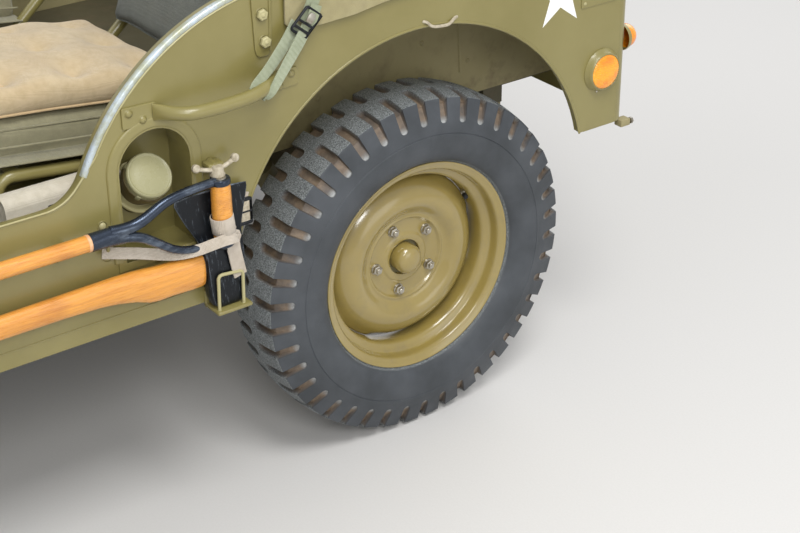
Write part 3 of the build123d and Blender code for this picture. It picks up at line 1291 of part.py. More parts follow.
# Pads of the seats: canvas cushions and backs on the frames
with BuildPart() as seat_pads:
    for centre in (SEAT_X, -SEAT_X):
        add(tilted_pad((centre, pad_origin.Y, pad_origin.Z), SEAT_TILT, 2 * SEAT_HALF, SEAT_DEPTH,
                       CUSHION_T, 40))
        with BuildSketch(Plane(origin=(centre, BACK_Y, BACK_Z), x_dir=(1, 0, 0), z_dir=tuple(back_up))):
            Rectangle(2 * SEAT_HALF, BACK_T, align=(Align.CENTER, Align.MIN))
        extrude(amount=BACK_H)
    with Locations((0, REAR_SEAT_Y, REAR_SEAT_Z - CUSHION_T)):
        Box(2 * REAR_SEAT_HALF, REAR_SEAT_DEPTH, CUSHION_T, align=(Align.CENTER, Align.MIN, Align.MIN))
    with Locations((0, rear_back_y, REAR_SEAT_Z + 10)):
        Box(2 * REAR_SEAT_HALF, REAR_BACK_T, REAR_BACK_H, align=(Align.CENTER, Align.MIN, Align.MIN))
save(seat_pads.part, "seat_pads")

# The pale loose cushion on the driver's seat
loose_origin = front_top + tilt_up * SOFT_GAP + tilt_along * 8
with BuildPart() as loose_cushion:
    add(tilted_pad((SEAT_X, loose_origin.Y, loose_origin.Z), SEAT_TILT, 2 * SEAT_HALF - 10, SEAT_DEPTH - 30,
                   LOOSE_T, 60))
save(loose_cushion.part, "loose_cushion")

# Grab handles on both sides
handle_x = HALF_WIDTH - HANDLE_R
HANDLE_ENDS = [(318.0, 862.0), (598.0, 851.0)]
with BuildPart() as grab_handles:
    for side in (1, -1):
        (front_y, front_z), (rear_y, rear_z) = HANDLE_ENDS
        foot_x = side * (BODY_X + HANDLE_R / 2 + 1)
        add(bent_tube([(foot_x, front_y, front_z), (side * handle_x, front_y + 25, front_z - 2),
                       (side * handle_x, rear_y - 25, rear_z + 2), (foot_x, rear_y, rear_z)], 22, HANDLE_R))
        for plate_y, plate_z in HANDLE_ENDS:
            with Locations((side * BODY_X, plate_y, plate_z)):
                Box(HANDLE_PLATE_T, HANDLE_PLATE_L, HANDLE_PLATE_H,
                    align=(Align.MIN if side > 0 else Align.MAX, Align.CENTER, Align.CENTER))
save(grab_handles.part, "grab_handles")

# Shovel on the left side: grip, strap arms, shaft and blade
GRIP_Y = 450.0
FERRULE_Y = 207.0
BLADE_Y = -250.0
BLADE_L = 280.0
BLADE_HALF = 75.0
with BuildPart() as shovel:
    add(cylinder_between((TOOL_X, FERRULE_Y, SHOVEL_Z), (TOOL_X, BLADE_Y, SHOVEL_Z), SHAFT_R))
    add(cylinder_between((TOOL_X, GRIP_Y, SHOVEL_Z - 62), (TOOL_X, GRIP_Y, SHOVEL_Z + 45), SHAFT_R))
    for end_z in (SHOVEL_Z - 52, SHOVEL_Z + 35):
        add(cylinder_between((TOOL_X, FERRULE_Y - 8, SHOVEL_Z), (TOOL_X, GRIP_Y, end_z), 9))
    with BuildSketch(Plane(origin=(TOOL_X - SHAFT_R / 2, 0, 0), x_dir=(0, 1, 0), z_dir=(1, 0, 0))):
        with BuildLine():
            Polyline((BLADE_Y, SHOVEL_Z + 30), (BLADE_Y - 30, SHOVEL_Z + BLADE_HALF),
                     (BLADE_Y - BLADE_L * 0.6, SHOVEL_Z + BLADE_HALF))
            ThreePointArc((BLADE_Y - BLADE_L * 0.6, SHOVEL_Z + BLADE_HALF), (BLADE_Y - BLADE_L, SHOVEL_Z),
                          (BLADE_Y - BLADE_L * 0.6, SHOVEL_Z - BLADE_HALF))
            Polyline((BLADE_Y - BLADE_L * 0.6, SHOVEL_Z - BLADE_HALF), (BLADE_Y - 30, SHOVEL_Z - BLADE_HALF),
                     (BLADE_Y, SHOVEL_Z - 30), (BLADE_Y, SHOVEL_Z + 30))
        make_face()
    extrude(amount=8)
save(shovel.part, "shovel")

# Axe below the shovel: helve, and head with its edge up
AXE_Y = 440.0
HELVE_L = 760.0
HELVE_HALF = 20.0
HELVE_R = 13.0
BIT_X = BODY_X + 6
BIT_T = 11.0
HEAD_FRONT_Y = 349.0
HEAD_REAR_Y = 504.0
HEAD_WAIST_Z = 590.0
HEAD_LOW_Z = 478.0
with BuildPart() as axe:
    with BuildSketch(Plane(origin=(AXE_X, AXE_Y, AXE_Z), x_dir=(1, 0, 0), z_dir=(0, -1, 0))):
        SlotOverall(2 * HELVE_HALF, 2 * HELVE_R, rotation=90)
    extrude(amount=HELVE_L)
    with BuildSketch(Plane(origin=(BIT_X, 0, 0), x_dir=(0, 1, 0), z_dir=(1, 0, 0))):
        Polygon((HEAD_FRONT_Y, 680), (HEAD_REAR_Y, 688), (482, HEAD_WAIST_Z), (404, HEAD_WAIST_Z), align=None)
    extrude(amount=BIT_T)
    with BuildSketch(Plane(origin=(BIT_X, 0, 0), x_dir=(0, 1, 0), z_dir=(1, 0, 0))):
        Polygon((404, HEAD_WAIST_Z), (482, HEAD_WAIST_Z), (478, HEAD_LOW_Z - 2), (414, HEAD_LOW_Z + 2),
                align=None)
    extrude(amount=2 * (AXE_X - BIT_X))
save(axe.part, "axe")

# Brackets that hold the tools on the left side
with BuildPart() as tool_brackets:
    for hold_y, hold_z, reach in ((150.0, SHOVEL_Z, TOOL_X - SHAFT_R), (-60.0, SHOVEL_Z, TOOL_X - SHAFT_R),
                                  (100.0, AXE_Z, AXE_X - HELVE_R), (-120.0, AXE_Z, AXE_X - HELVE_R)):
        with Locations((BODY_X, hold_y, hold_z)):
            Box(reach - BODY_X - SOFT_GAP, 30, 30, align=(Align.MIN, Align.CENTER, Align.CENTER))
    with Locations((BODY_X, AXE_Y, 476)):
        Box(46, 60, 8, align=(Align.MIN, Align.CENTER, Align.MAX))
    with Locations((BODY_X, AXE_Y, 476)):
        Box(4, 60, 30, align=(Align.MIN, Align.CENTER, Align.CENTER))
save(tool_brackets.part, "tool_brackets")

# Lamps: amber side and rear lamps and red tail lamps
REAR_LAMPS = [(702, 733, 28), (640, 640, 34)]
with BuildPart() as marker_lamps:
    for side in (1, -1):
        with BuildSketch(Plane(origin=(side * BODY_X, 1346, 687), z_dir=(side, 0, 0))):
            Circle(42)
        extrude(amount=20, taper=12)
        for lamp_x, lamp_z, lamp_r in REAR_LAMPS:
            with BuildSketch(Plane(origin=(side * lamp_x, BODY_REAR_Y, lamp_z), z_dir=(0, 1, 0))):
                Circle(lamp_r)
            extrude(amount=38, taper=14)
save(marker_lamps.part, "marker_lamps")

# Folded canvas hung over the left rail, and the webbing straps
with BuildPart() as canvas_flap:
    with BuildSketch(Plane(origin=(0, 600, 0), x_dir=(1, 0, 0), z_dir=(0, 1, 0))):
        with Locations((0, 0)):
            Polygon(
                (BODY_X + SOFT_GAP, -940), (BODY_X + 10, -940), (BODY_X + 10, -RAIL_Z - 10),
                (BODY_X - 60, -RAIL_Z - 10), (BODY_X - 60, -980), (BODY_X - 50, -980),
                (BODY_X - 50, -RAIL_Z - SOFT_GAP), (BODY_X + SOFT_GAP, -RAIL_Z - SOFT_GAP), align=None,
            )
    extrude(amount=420)
save(canvas_flap.part, "canvas_flap")


def flat_run(start, end, width, thickness, out):
    """A straight run of flat webbing from one point to another, its face turned to out."""
    axis = Vector(*end) - Vector(*start)
    across = axis.cross(Vector(*out)).normalized()
    with BuildPart() as run:
        with BuildSketch(Plane(origin=start, x_dir=tuple(across), z_dir=tuple(axis))):
            Rectangle(width, thickness)
        extrude(amount=axis.length)
    return run.part


lash_x = BODY_X + 10 + SOFT_GAP + STRAP_T / 2
strap_x = HALF_WIDTH - 6.5
strap_wall_x = BODY_X + SOFT_GAP + STRAP_T / 2
with BuildPart() as webbing_straps:
    add(flat_run((HALF_WIDTH - 7.5, 530, 875.4), (lash_x, 634, 952), STRAP_W, STRAP_T, (1, 0, 0)))
    add(flat_run((lash_x, 632, 948), (lash_x, 670, 1045), STRAP_W, STRAP_T, (1, 0, 0)))
    add(flat_run((lash_x + 1, 670, 1045), (BODY_X - 40, 680, 1045), STRAP_W, STRAP_T, (0, 0, 1)))
    add(flat_run((strap_wall_x, 232, 622), (strap_x, 405, 604), STRAP_W, STRAP_T, (1, 0, 0)))
    add(flat_run((strap_x, 402, 602), (strap_x, 472, 650), STRAP_W, STRAP_T, (1, 0, 0)))
    add(flat_run((strap_x, 470, 649), (738, 514, 655), STRAP_W, STRAP_T, (0, 1, 0)))
save(webbing_straps.part, "webbing_straps")

# Pouch beside the driver's seat
with BuildPart() as seat_pouch:
    with Locations((SEAT_X + SEAT_HALF + 2 * TUBE_R + 10, 195, FLOOR_Z + SOFT_GAP)):
        Box(46, 200, 214, align=(Align.MIN, Align.CENTER, Align.MIN))
    fillet(seat_pouch.edges().filter_by(Axis.Z), 14)
save(seat_pouch.part, "seat_pouch")
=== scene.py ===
"""Looks of the army 4x4 car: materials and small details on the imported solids.
Tables are in millimetres and degrees. x points to the car's left, y to its rear and z up.
"""
import bpy
import bmesh
import math
from mathutils.bvhtree import BVHTree
from mathutils import Matrix, Vector


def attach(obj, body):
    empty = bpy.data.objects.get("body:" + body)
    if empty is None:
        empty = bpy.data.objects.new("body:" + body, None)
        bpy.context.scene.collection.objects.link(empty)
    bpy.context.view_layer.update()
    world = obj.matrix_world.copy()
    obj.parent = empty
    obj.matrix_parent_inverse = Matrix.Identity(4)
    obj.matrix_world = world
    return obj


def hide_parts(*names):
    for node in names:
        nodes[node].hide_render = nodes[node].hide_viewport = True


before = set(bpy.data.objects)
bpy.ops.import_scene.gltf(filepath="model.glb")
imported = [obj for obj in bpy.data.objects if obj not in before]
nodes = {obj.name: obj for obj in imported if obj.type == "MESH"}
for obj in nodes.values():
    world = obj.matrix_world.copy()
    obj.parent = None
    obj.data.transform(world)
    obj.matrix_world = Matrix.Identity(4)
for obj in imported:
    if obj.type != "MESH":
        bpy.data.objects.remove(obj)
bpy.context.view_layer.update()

MM = 0.001
ROOT = "chassis_and_body"
X, Y, Z = Vector((1, 0, 0)), Vector((0, 1, 0)), Vector((0, 0, 1))
SIDES = (1, -1)
MIRROR = Matrix.Scale(-1, 4, X)
TIP = 0.01  # radius of a turned shape at its closed end
WAVE = 0.314  # the wave texture's scale times its period in metres


# Materials


class Finish:
    """One procedural material, built node by node."""

    def __init__(self, name, rough=0.5, metal=0.0, edge=0.0, **sockets):
        self.material = bpy.data.materials.new(name)
        self.material.use_nodes = True
        self.tree = self.material.node_tree
        self.shader = self.tree.nodes["Principled BSDF"]
        for key, value in {"Roughness": rough, "Metallic": metal, **sockets}.items():
            self.shader.inputs[key.replace("_", " ")].default_value = value
        self.place = self.node("ShaderNodeTexCoord").outputs["Object"]
        if edge:
            self.join(self.softened(edge), self.shader.inputs["Normal"])

    def node(self, kind, inputs=None, **settings):
        made = self.tree.nodes.new(kind)
        for key, value in settings.items():
            setattr(made, key, value)
        for key, value in (inputs or {}).items():
            made.inputs[key].default_value = value
        return made

    def join(self, source, target):
        self.tree.links.new(source, target)

    def number(self, value, socket):
        """Sets a socket to a number, or links it to another node's output."""
        if isinstance(value, (int, float)):
            socket.default_value = value
        else:
            self.join(value, socket)

    def texture(self, kind, output, inputs, place=None, **settings):
        """A node's output at a place, which is the object's own coordinates if none is given."""
        made = self.node(kind, inputs, **settings)
        self.join(place or self.place, made.inputs["Vector"])
        return made.outputs[output]

    def stretch(self, *scale):
        return self.texture("ShaderNodeMapping", "Vector", {"Scale": scale})

    def noise(self, scale, detail=4.0, rough=0.55, place=None, distort=0.0):
        inputs = {"Scale": scale, "Detail": detail, "Roughness": rough, "Distortion": distort}
        return self.texture("ShaderNodeTexNoise", "Fac", inputs, place)

    def waves(self, period, direction, distort=0.0):
        """Bands across an axis, their period in metres."""
        inputs = {"Scale": WAVE / period, "Distortion": distort, "Detail": 2.0}
        return self.texture("ShaderNodeTexWave", "Fac", inputs, bands_direction=direction)

    def ramp(self, value, low, high):
        """0 below low, 1 above high, straight between."""
        made = self.node("ShaderNodeMapRange", {"From Min": low, "From Max": high})
        self.join(value, made.inputs["Value"])
        return made.outputs["Result"]

    def calc(self, operation, a, b):
        made = self.node("ShaderNodeMath", operation=operation)
        self.number(a, made.inputs[0])
        self.number(b, made.inputs[1])
        return made.outputs["Value"]

    def times(self, product, *others):
        for value in others:
            product = self.calc("MULTIPLY", product, value)
        return product

    def region(self, name):
        """A number stored on the mesh's points, from 0 to 1."""
        return self.node("ShaderNodeAttribute", attribute_name=name).outputs["Fac"]

    def mix(self, share, a, b):
        """A colour between two, which are colours or outputs."""
        made = self.node("ShaderNodeMix", data_type="RGBA")
        self.number(share, made.inputs["Factor"])
        for value, socket in ((a, made.inputs[6]), (b, made.inputs[7])):
            if isinstance(value, str):
                socket.default_value = colour(value)
            else:
                self.join(value, socket)
        return made.outputs[2]

    def colour(self, output):
        self.join(output, self.shader.inputs["Base Color"])

    def rough(self, value, low, high):
        """Roughness from low to high as a value goes from 0 to 1."""
        made = self.node("ShaderNodeMapRange", {"To Min": low, "To Max": high})
        self.join(value, made.inputs["Value"])
        self.join(made.outputs["Result"], self.shader.inputs["Roughness"])

    def bump(self, height, depth):
        """Raises the surface by a height of up to depth millimetres, over any bump set before."""
        made = self.node("ShaderNodeBump", {"Strength": 1.0, "Distance": depth * MM})
        self.join(height, made.inputs["Height"])
        before = self.shader.inputs["Normal"].links
        if before:
            self.join(before[0].from_socket, made.inputs["Normal"])
        self.join(made.outputs["Normal"], self.shader.inputs["Normal"])

    def softened(self, radius):
        """The normal, rounded over sharp edges."""
        return self.node("ShaderNodeBevel", {"Radius": radius * MM}, samples=4).outputs["Normal"]

    def worn_edges(self, radius, low, high):
        """1 near sharp outer edges, 0 on flats."""
        dot = self.node("ShaderNodeVectorMath", operation="DOT_PRODUCT")
        self.join(self.softened(radius), dot.inputs[0])
        self.join(self.node("ShaderNodeNewGeometry").outputs["Normal"], dot.inputs[1])
        return self.ramp(self.calc("SUBTRACT", 1.0, dot.outputs["Value"]), low, high)


def colour(code):
    """A colour from its six-digit code, in linear light."""
    parts = [int(code[i:i + 2], 16) / 255 for i in (0, 2, 4)]
    return (*(p / 12.92 if p <= 0.04045 else ((p + 0.055) / 1.055) ** 2.4 for p in parts), 1.0)


def paint(name, base, faded, dust, rough=(0.34, 0.5), dirt_and_shade=0.25, grain=0.12, **sockets):
    """Olive paint: faded in patches, dusty low down, a fine orange-peel skin and small chips. Where the grime is
    heavy and dark, as on the inner panels, it is partly painted shade.
    """
    f = Finish(name, edge=2.0, **sockets)
    patches = f.ramp(f.noise(5, 5), 0.38, 0.68)
    grime_and_shade = f.ramp(f.noise(22, 8, 0.65), 0.5, 0.75)
    low = f.ramp(f.texture("ShaderNodeSeparateXYZ", "Z", {}), 0.85, 0.25)
    specks = f.ramp(f.texture("ShaderNodeTexVoronoi", "Distance", {"Scale": 260.0}), 0.055, 0.03)
    thin = f.ramp(f.noise(14, 3), 0.56, 0.66)
    rubbed = f.ramp(f.noise(15, 9, 0.78, f.stretch(1, 0.3, 1), 1.6), 0.64, 0.73)
    tone = f.mix(patches, base, faded)
    # Grimy patches low down go towards the dust colour; on the inner panels this darkening is partly painted shade.
    tone = f.mix(f.times(grime_and_shade, low, dirt_and_shade * 2), tone, dust)
    tone = f.mix(f.times(specks, thin, 0.7), tone, "3A3A2A")
    f.colour(f.mix(f.times(rubbed, patches, 0.35), tone, "B5AC80"))
    f.rough(f.noise(35, 5), *rough)
    f.bump(f.noise(420, 2), grain)
    f.bump(f.noise(9, 2), 0.6)
    return f.material


def cloth(name, base, faded, shade, thread=1.3, depth=0.25, stains=0.25):
    """Woven cotton: crossed threads, faded and rubbed in patches, with soft stains."""
    f = Finish(name, rough=0.85, Sheen_Weight=0.25, Sheen_Roughness=0.5)
    patches = f.ramp(f.noise(7, 5), 0.36, 0.68)
    mottle = f.ramp(f.noise(60, 5, 0.6), 0.4, 0.75)
    spots = f.ramp(f.noise(11, 6, 0.6), 0.6, 0.75)
    weave = f.waves(thread * MM, "X", 0.6)
    for way in "YZ":
        weave = f.calc("ADD", weave, f.waves(thread * MM, way, 0.6))
    tone = f.mix(f.times(mottle, 0.45), f.mix(patches, base, faded), shade)
    tone = f.mix(f.times(spots, stains), tone, "6E644C")
    f.colour(f.mix(f.times(f.ramp(weave, 1.9, 0.6), 0.22), tone, shade))
    f.rough(patches, 0.8, 0.95)
    f.bump(weave, depth)
    f.bump(f.noise(24, 4), 1.2)
    return f.material


def plain(name, settings, mask, colours, rough, bump, stretch=None):
    """Two colours mixed by a mask. The mask and bump are a noise and its range or depth; where the
    roughness has no noise of its own, it follows the mask."""
    f = Finish(name, **settings)
    share = f.ramp(f.noise(*mask[0], **({"place": f.stretch(*stretch)} if stretch else {})), *mask[1:])
    f.colour(f.mix(share, *colours))
    f.rough(f.noise(*rough[0]) if rough[0] else share, *rough[1:])
    if bump:
        f.bump(f.noise(*bump[0]), bump[1])
    return f.material


def lens(name, deep, light):
    f = Finish(name, rough=0.16, Coat_Weight=1.0, Coat_Roughness=0.05, Subsurface_Weight=0.15,
               Subsurface_Scale=0.01)
    rings = f.waves(0.004, "Z")
    f.colour(f.mix(f.ramp(f.noise(30, 3), 0.35, 0.65), deep, light))
    f.rough(rings, 0.12, 0.2)
    f.bump(rings, 0.25)
    return f.material


def lamp_glass():
    f = Finish("lamp_glass", rough=0.08, metal=0.55, Coat_Weight=1.0, Coat_Roughness=0.03)
    flutes = f.waves(0.011, "X")
    f.colour(f.mix(flutes, "B9BDBD", "E4E7E6"))
    f.rough(flutes, 0.06, 0.16)
    f.bump(flutes, 1.0)
    return f.material


def radiator_core():
    f = Finish("radiator_core", rough=0.5, metal=0.4)
    fins, tubes = f.waves(0.005, "Z"), f.waves(0.014, "X")
    f.colour(f.mix(f.times(fins, tubes), "17191A", "3E4241"))
    f.rough(f.noise(60, 4), 0.4, 0.65)
    f.bump(f.calc("ADD", fins, tubes), 2.0)
    return f.material


def tyre_rubber():
    """Dark walls, a scuffed tread, brown mud in the slots and grey dust at their ends."""
    f = Finish("tyre_rubber", rough=0.7)
    tread = f.region("tread")
    scuff = f.ramp(f.noise(420, 6, 0.75), 0.42, 0.62)
    wall = f.mix(f.ramp(f.noise(9, 5), 0.35, 0.7), "34383C", "4B4F54")
    brown = f.mix(f.ramp(f.noise(60, 6, 0.7), 0.25, 0.7), "5A4C3F", "8A7966")
    mud = f.times(f.region("mud"), f.ramp(f.noise(26, 5, 0.6), 0.2, 0.55))
    dust = f.times(f.region("dusty"), f.ramp(f.noise(90, 5, 0.7), 0.2, 0.6))
    tone = f.mix(tread, wall, f.mix(scuff, "4C5154", "A4A9A9"))
    f.colour(f.mix(dust, f.mix(mud, tone, brown), "B4B6B4"))
    f.rough(f.noise(30, 4), 0.42, 0.62)
    f.bump(f.noise(900, 4, 0.7), 0.5)
    f.bump(f.times(scuff, tread), 0.7)
    return f.material


def tool_blade():
    """Black paint, worn to steel along its edges and in scratches."""
    f = Finish("tool_blade", rough=0.35, metal=0.5, edge=1.0)
    scratch = f.ramp(f.noise(30, 8, 0.75, f.stretch(1, 6, 1)), 0.56, 0.72)
    rim = f.times(f.worn_edges(2.5, 0.01, 0.08), f.ramp(f.noise(50, 4), 0.35, 0.6))
    f.colour(f.mix(f.calc("MAXIMUM", rim, scratch), "14181D", "77808A"))
    f.rough(f.noise(60, 5), 0.28, 0.5)
    f.bump(f.noise(120, 5), 0.3)
    return f.material


def tool_wood():
    """Varnished wood with its grain along y. Its pale streaks along the grain are partly painted highlight."""
    f = Finish("tool_wood", rough=0.3, Coat_Weight=0.6, Coat_Roughness=0.12)
    grain = f.stretch(14, 1, 14)
    rings = f.ramp(f.noise(9, 6, 0.6, grain, 1.2), 0.32, 0.72)
    fibre_and_highlight = f.ramp(f.noise(40, 5, 0.7, grain), 0.3, 0.75)
    knots = f.ramp(f.noise(5, 3), 0.62, 0.72)
    # Pale streaks along the grain: wood fibre, and partly a painted highlight.
    tone = f.mix(f.times(fibre_and_highlight, 0.4), f.mix(rings, "E39A33", "BE7426"), "F0B25C")
    f.colour(f.mix(f.times(knots, 0.5), tone, "A55F24"))
    f.rough(fibre_and_highlight, 0.22, 0.4)
    f.bump(fibre_and_highlight, 0.25)
    return f.material


finishes = {
    "cushion": cloth("canvas_pale", "C2AC87", "CEBB98", "A58D63", stains=0.15),
    "piping": cloth("canvas_tan", "C9AD82", "D3B98F", "A88E62"),
    "canvas": cloth("canvas_olive", "8C8768", "999376", "6F6B52", stains=0.35),
    "backs": cloth("canvas_grey", "5E635C", "6B6F65", "4C504A", stains=0.3),
    "flap": cloth("canvas_flap", "A3986B", "ADA278", "8C815A"),
    "pouch": cloth("canvas_pouch", "CFC6B2", "D8D0BF", "AFA58C"),
    "webbing": cloth("webbing_green", "9CA384", "A8AF92", "7E8768", 2.2, 0.5),
    "tape": cloth("webbing_beige", "C4B7A6", "CFC4B5", "A3957F", 2.2, 0.5),
    "body": paint("olive_body", "7E7542", "887F4D", "746B4C", (0.28, 0.42), Coat_Weight=0.35,
                  Coat_Roughness=0.24),
    "wheel": paint("olive_wheel", "8E7C40", "968449", "776947", (0.18, 0.27), 0.2, 0.03, Coat_Weight=1.0,
                   Coat_Roughness=0.15),
    "frame": paint("olive_frame", "6E6744", "7A7250", "6A604C", (0.5, 0.75), 0.6, 0.3),
    "cap": paint("olive_cap", "918D66", "9B9772", "6F6A48", (0.2, 0.34), 0.2),
    # Inner panels: heavy dark grime low down, partly painted shade of the wheelhouses.
    "inner": paint("olive_inner", "91875F", "9A9069", "6A5D42", (0.55, 0.8), 1.0, 0.4),
    "floor": paint("olive_floor", "4B4632", "57513A", "5A4F3A", (0.55, 0.8), 1.2, 0.4),
    "skirt": paint("olive_dark", "54472B", "5F5232", "4A3F2A", (0.3, 0.5), 0.6),
    # Paler olive: worn paint on bolts, rivets and fittings; on the ridge along the door opening it is a painted
    # highlight.
    "pale": paint("olive_wear_and_highlight", "B3AC80", "A59D70", "938B64", (0.3, 0.5), 0.1),
    # Bluish-white rolled lip of the door opening: worn paint, partly a painted highlight.
    "edge": plain("edge_wear_and_highlight", {"rough": 0.28, "metal": 0.3}, ((26, 6, 0.7), 0.36, 0.62),
                  ("A7A98F", "C3D0DC"), ((60, 5), 0.2, 0.42), ((90, 5, 0.7), 0.5)),
    "white": plain("star_white", {}, ((70, 6, 0.7), 0.62, 0.75), ("F1F1EC", "C9C5AE"),
                   ((60, 4), 0.4, 0.6), ((300, 3), 0.1)),
    "zinc": plain("zinc_weathered", {"rough": 0.6, "metal": 0.15}, ((120, 6, 0.7), 0.35, 0.65),
                  ("9A8F78", "C4BBA6"), ((90, 4), 0.45, 0.75), ((240, 6, 0.7), 0.9)),
    # Shovel fork: dark steel with pale bluish streaks along the arms, a painted highlight.
    "fork": plain("fork_steel_and_highlight", {"rough": 0.22, "metal": 0.75}, ((18, 7, 0.7), 0.5, 0.72),
                  ("39414E", "8D99A8"), ((80, 5), 0.15, 0.36), ((150, 4), 0.15), (1, 0.3, 1)),
    "rubber": plain("black_rubber", {"rough": 0.6}, ((40, 5), 0.4, 0.7), ("17181A", "2B2C2E"),
                    ((70, 4), 0.45, 0.7), ((500, 3), 0.25)),
    "engine": plain("engine_iron", {"rough": 0.55, "metal": 0.2, "edge": 6.0}, ((9, 7, 0.65), 0.45, 0.7),
                    ("5C6552", "3A3A30"), (None, 0.6, 0.3), ((90, 5), 1.2)),
    "exhaust": plain("exhaust_rust", {"rough": 0.75, "metal": 0.3}, ((20, 8, 0.7), 0.4, 0.68),
                     ("4B4642", "7A4E31"), (None, 0.55, 0.9), ((130, 6), 0.8)),
    "spring": plain("spring_leaf", {"rough": 0.6, "metal": 0.4, "edge": 1.5}, ((34, 7, 0.7), 0.48, 0.7),
                    ("4A4636", "6E5338"), (None, 0.5, 0.85), ((200, 5), 0.4)),
    "steel": plain("bare_steel", {"rough": 0.32, "metal": 0.9}, ((60, 5), 0.4, 0.7),
                   ("B9B4A8", "8C8474"), ((120, 4), 0.22, 0.45), ((400, 3), 0.15)),
    "black": plain("black_steel", {"rough": 0.4, "metal": 0.35, "edge": 1.2}, ((40, 7, 0.7), 0.55, 0.75),
                   ("15181C", "3D434A"), ((70, 5), 0.25, 0.55), ((160, 4), 0.25)),
    "wood_pale": plain("ferrule_wood", {"rough": 0.4}, ((90, 5), 0.35, 0.65), ("D3996B", "E3B489"),
                       ((60, 4), 0.3, 0.5), ((200, 3), 0.2)),
    "glass": plain("clear_glass", {"rough": 0.03, "Transmission_Weight": 1.0, "IOR": 1.45},
                   ((12, 6, 0.6), 0.45, 0.8), ("F4F8F5", "E2E8E2"), (None, 0.02, 0.09), None),
    "amber": lens("lens_amber", "E8820A", "FDA90B"),
    "red": lens("lens_red", "7E0D0C", "A3201A"),
    "lamp": lamp_glass(),
    "radiator": radiator_core(),
    "tyre": tyre_rubber(),
    "blade": tool_blade(),
    "wood": tool_wood(),
}


# Placements, and shapes as points in millimetres and faces


def axes(x, y, z, origin=(0, 0, 0)):
    """A placement by its three axes."""
    place = Matrix((x, y, z)).transposed().to_4x4()
    place.translation = origin
    return place


def frame_at(origin, up=Z, along=None):
    """A placement with its z towards up, and its x as near to along as it can be."""
    z = Vector(up).normalized()
    near = Vector(along or (X if abs(z.x) < 0.9 else Y))
    x = (near - z * near.dot(z)).normalized()
    return axes(x, z.cross(x), z, origin)


def at(x, y, z):
    return Matrix.Translation((x, y, z))


def turned(degrees, axis="Z"):
    return Matrix.Rotation(math.radians(degrees), 4, axis)


def polar(radius, degrees, z=0.0):
    turn = math.radians(degrees)
    return Vector((radius * math.cos(turn), radius * math.sin(turn), z))


def skin(rows, size, start=0):
    """Faces between rows of closed rings of points."""
    faces = []
    for a in range(start, start + (rows - 1) * size, size):
        for i in range(size):
            j = (i + 1) % size
            faces.append((a + i, a + j, a + size + j, a + size + i))
    return faces


def ends(rows, size):
    """The two faces that close a skin."""
    return [tuple(range(size))[::-1], tuple(range((rows - 1) * size, rows * size))]


def lathe(profile, sides, wobble=None):
    """Turns a profile of (height, radius) about z. wobble changes a point by its angle."""
    points = []
    for height, radius in profile:
        for i in range(sides):
            turn = 2 * math.pi * i / sides
            h, r = wobble(height, radius, turn) if wobble else (height, radius)
            points.append((r * math.cos(turn), r * math.sin(turn), h))
    return points, skin(len(profile), sides)


def sweep(path, section, up=None, hold=True, caps=True):
    """Carries a section of (across, up) points along a path. up holds all the way, or only at the start.
    A function gives a section by its share of the way."""
    path = [Vector(p) for p in path]
    last = len(path) - 1
    lift = None
    points = []
    for i, spot in enumerate(path):
        tangent = (path[min(i + 1, last)] - path[max(i - 1, 0)]).normalized()
        if up and (hold or lift is None):
            lift = Vector(up)
        elif lift is None:
            lift = tangent.orthogonal()
        lift = (lift - tangent * lift.dot(tangent)).normalized()
        across = tangent.cross(lift)
        ring = section(i / last) if callable(section) else section
        points += [spot + across * a + lift * b for a, b in ring]
    return points, skin(len(path), len(ring)) + (ends(len(path), len(ring)) if caps else [])


def squared(turn, power):
    """A point of a rounded square of half side 1."""
    c, s = math.cos(turn), math.sin(turn)
    reach = (abs(c) ** power + abs(s) ** power) ** (-1 / power)
    return c * reach, s * reach


def loft(rows, sides, power, spot):
    """A skin over rounded rectangles, closed at both ends. spot places a point by its shares and row."""
    points = [spot(*squared(2 * math.pi * i / sides, power), *row) for row in rows for i in range(sides)]
    return points, skin(len(rows), sides) + ends(len(rows), sides)


def oval(across, up, sides):
    turns = (2 * math.pi * i / sides for i in range(sides))
    return [(across * math.cos(t), up * math.sin(t)) for t in turns]


def circle(radius, sides=12, flat=1.0):
    """A round section, or a flattened one."""
    return oval(radius, radius * flat, sides)


def flat_band(width, thickness):
    """The section of flat webbing, its long edges softened."""
    w, t, soft = width / 2, thickness / 2, 0.4
    half = [(-w, -t + soft), (-w + soft, -t), (-w / 3, -t), (w / 3, -t), (w - soft, -t), (w, -t + soft)]
    return half + [(-a, -b) for a, b in half]


def smooth_path(points, steps):
    """A smooth curve through its points."""
    points = [Vector(p) for p in points]
    whole = [points[0] * 2 - points[1]] + points + [points[-1] * 2 - points[-2]]
    made = []
    for a, b, c, d in zip(whole, whole[1:], whole[2:], whole[3:]):
        for t in (step / steps for step in range(steps)):
            made.append(0.5 * (2 * b + (c - a) * t + (2 * a - 5 * b + 4 * c - d) * t * t
                               + (3 * b - a - 3 * c + d) * t ** 3))
    made.append(points[-1])
    return made


def arc(centre, radius, start, stop, steps):
    """Points of an arc in two directions, by angles in degrees."""
    turns = (math.radians(start + (stop - start) * i / steps) for i in range(steps + 1))
    return [(centre[0] + radius * math.cos(t), centre[1] + radius * math.sin(t)) for t in turns]


def bend(points, radius, steps):
    """A path whose corners are rounded."""
    points = [Vector(p) for p in points]
    made = [points[0]]
    for before, corner, after in zip(points, points[1:], points[2:]):
        a, b = (before - corner).normalized(), (after - corner).normalized()
        cut = min(radius / math.tan(a.angle(b) / 2), (before - corner).length * 0.49,
                  (after - corner).length * 0.49)
        start, end = corner + a * cut, corner + b * cut
        for t in (i / steps for i in range(steps + 1)):
            made.append(start.lerp(corner, t).lerp(corner.lerp(end, t), t))
    made.append(points[-1])
    return made


def loop(centre, across, along, radius, steps):
    """A closed rectangle with rounded corners, by its two half sides."""
    corners = [Vector(centre) + across * a + along * b for a, b in ((1, 1), (1, -1), (-1, -1), (-1, 1))]
    return bend(corners + corners[:2], radius, steps)


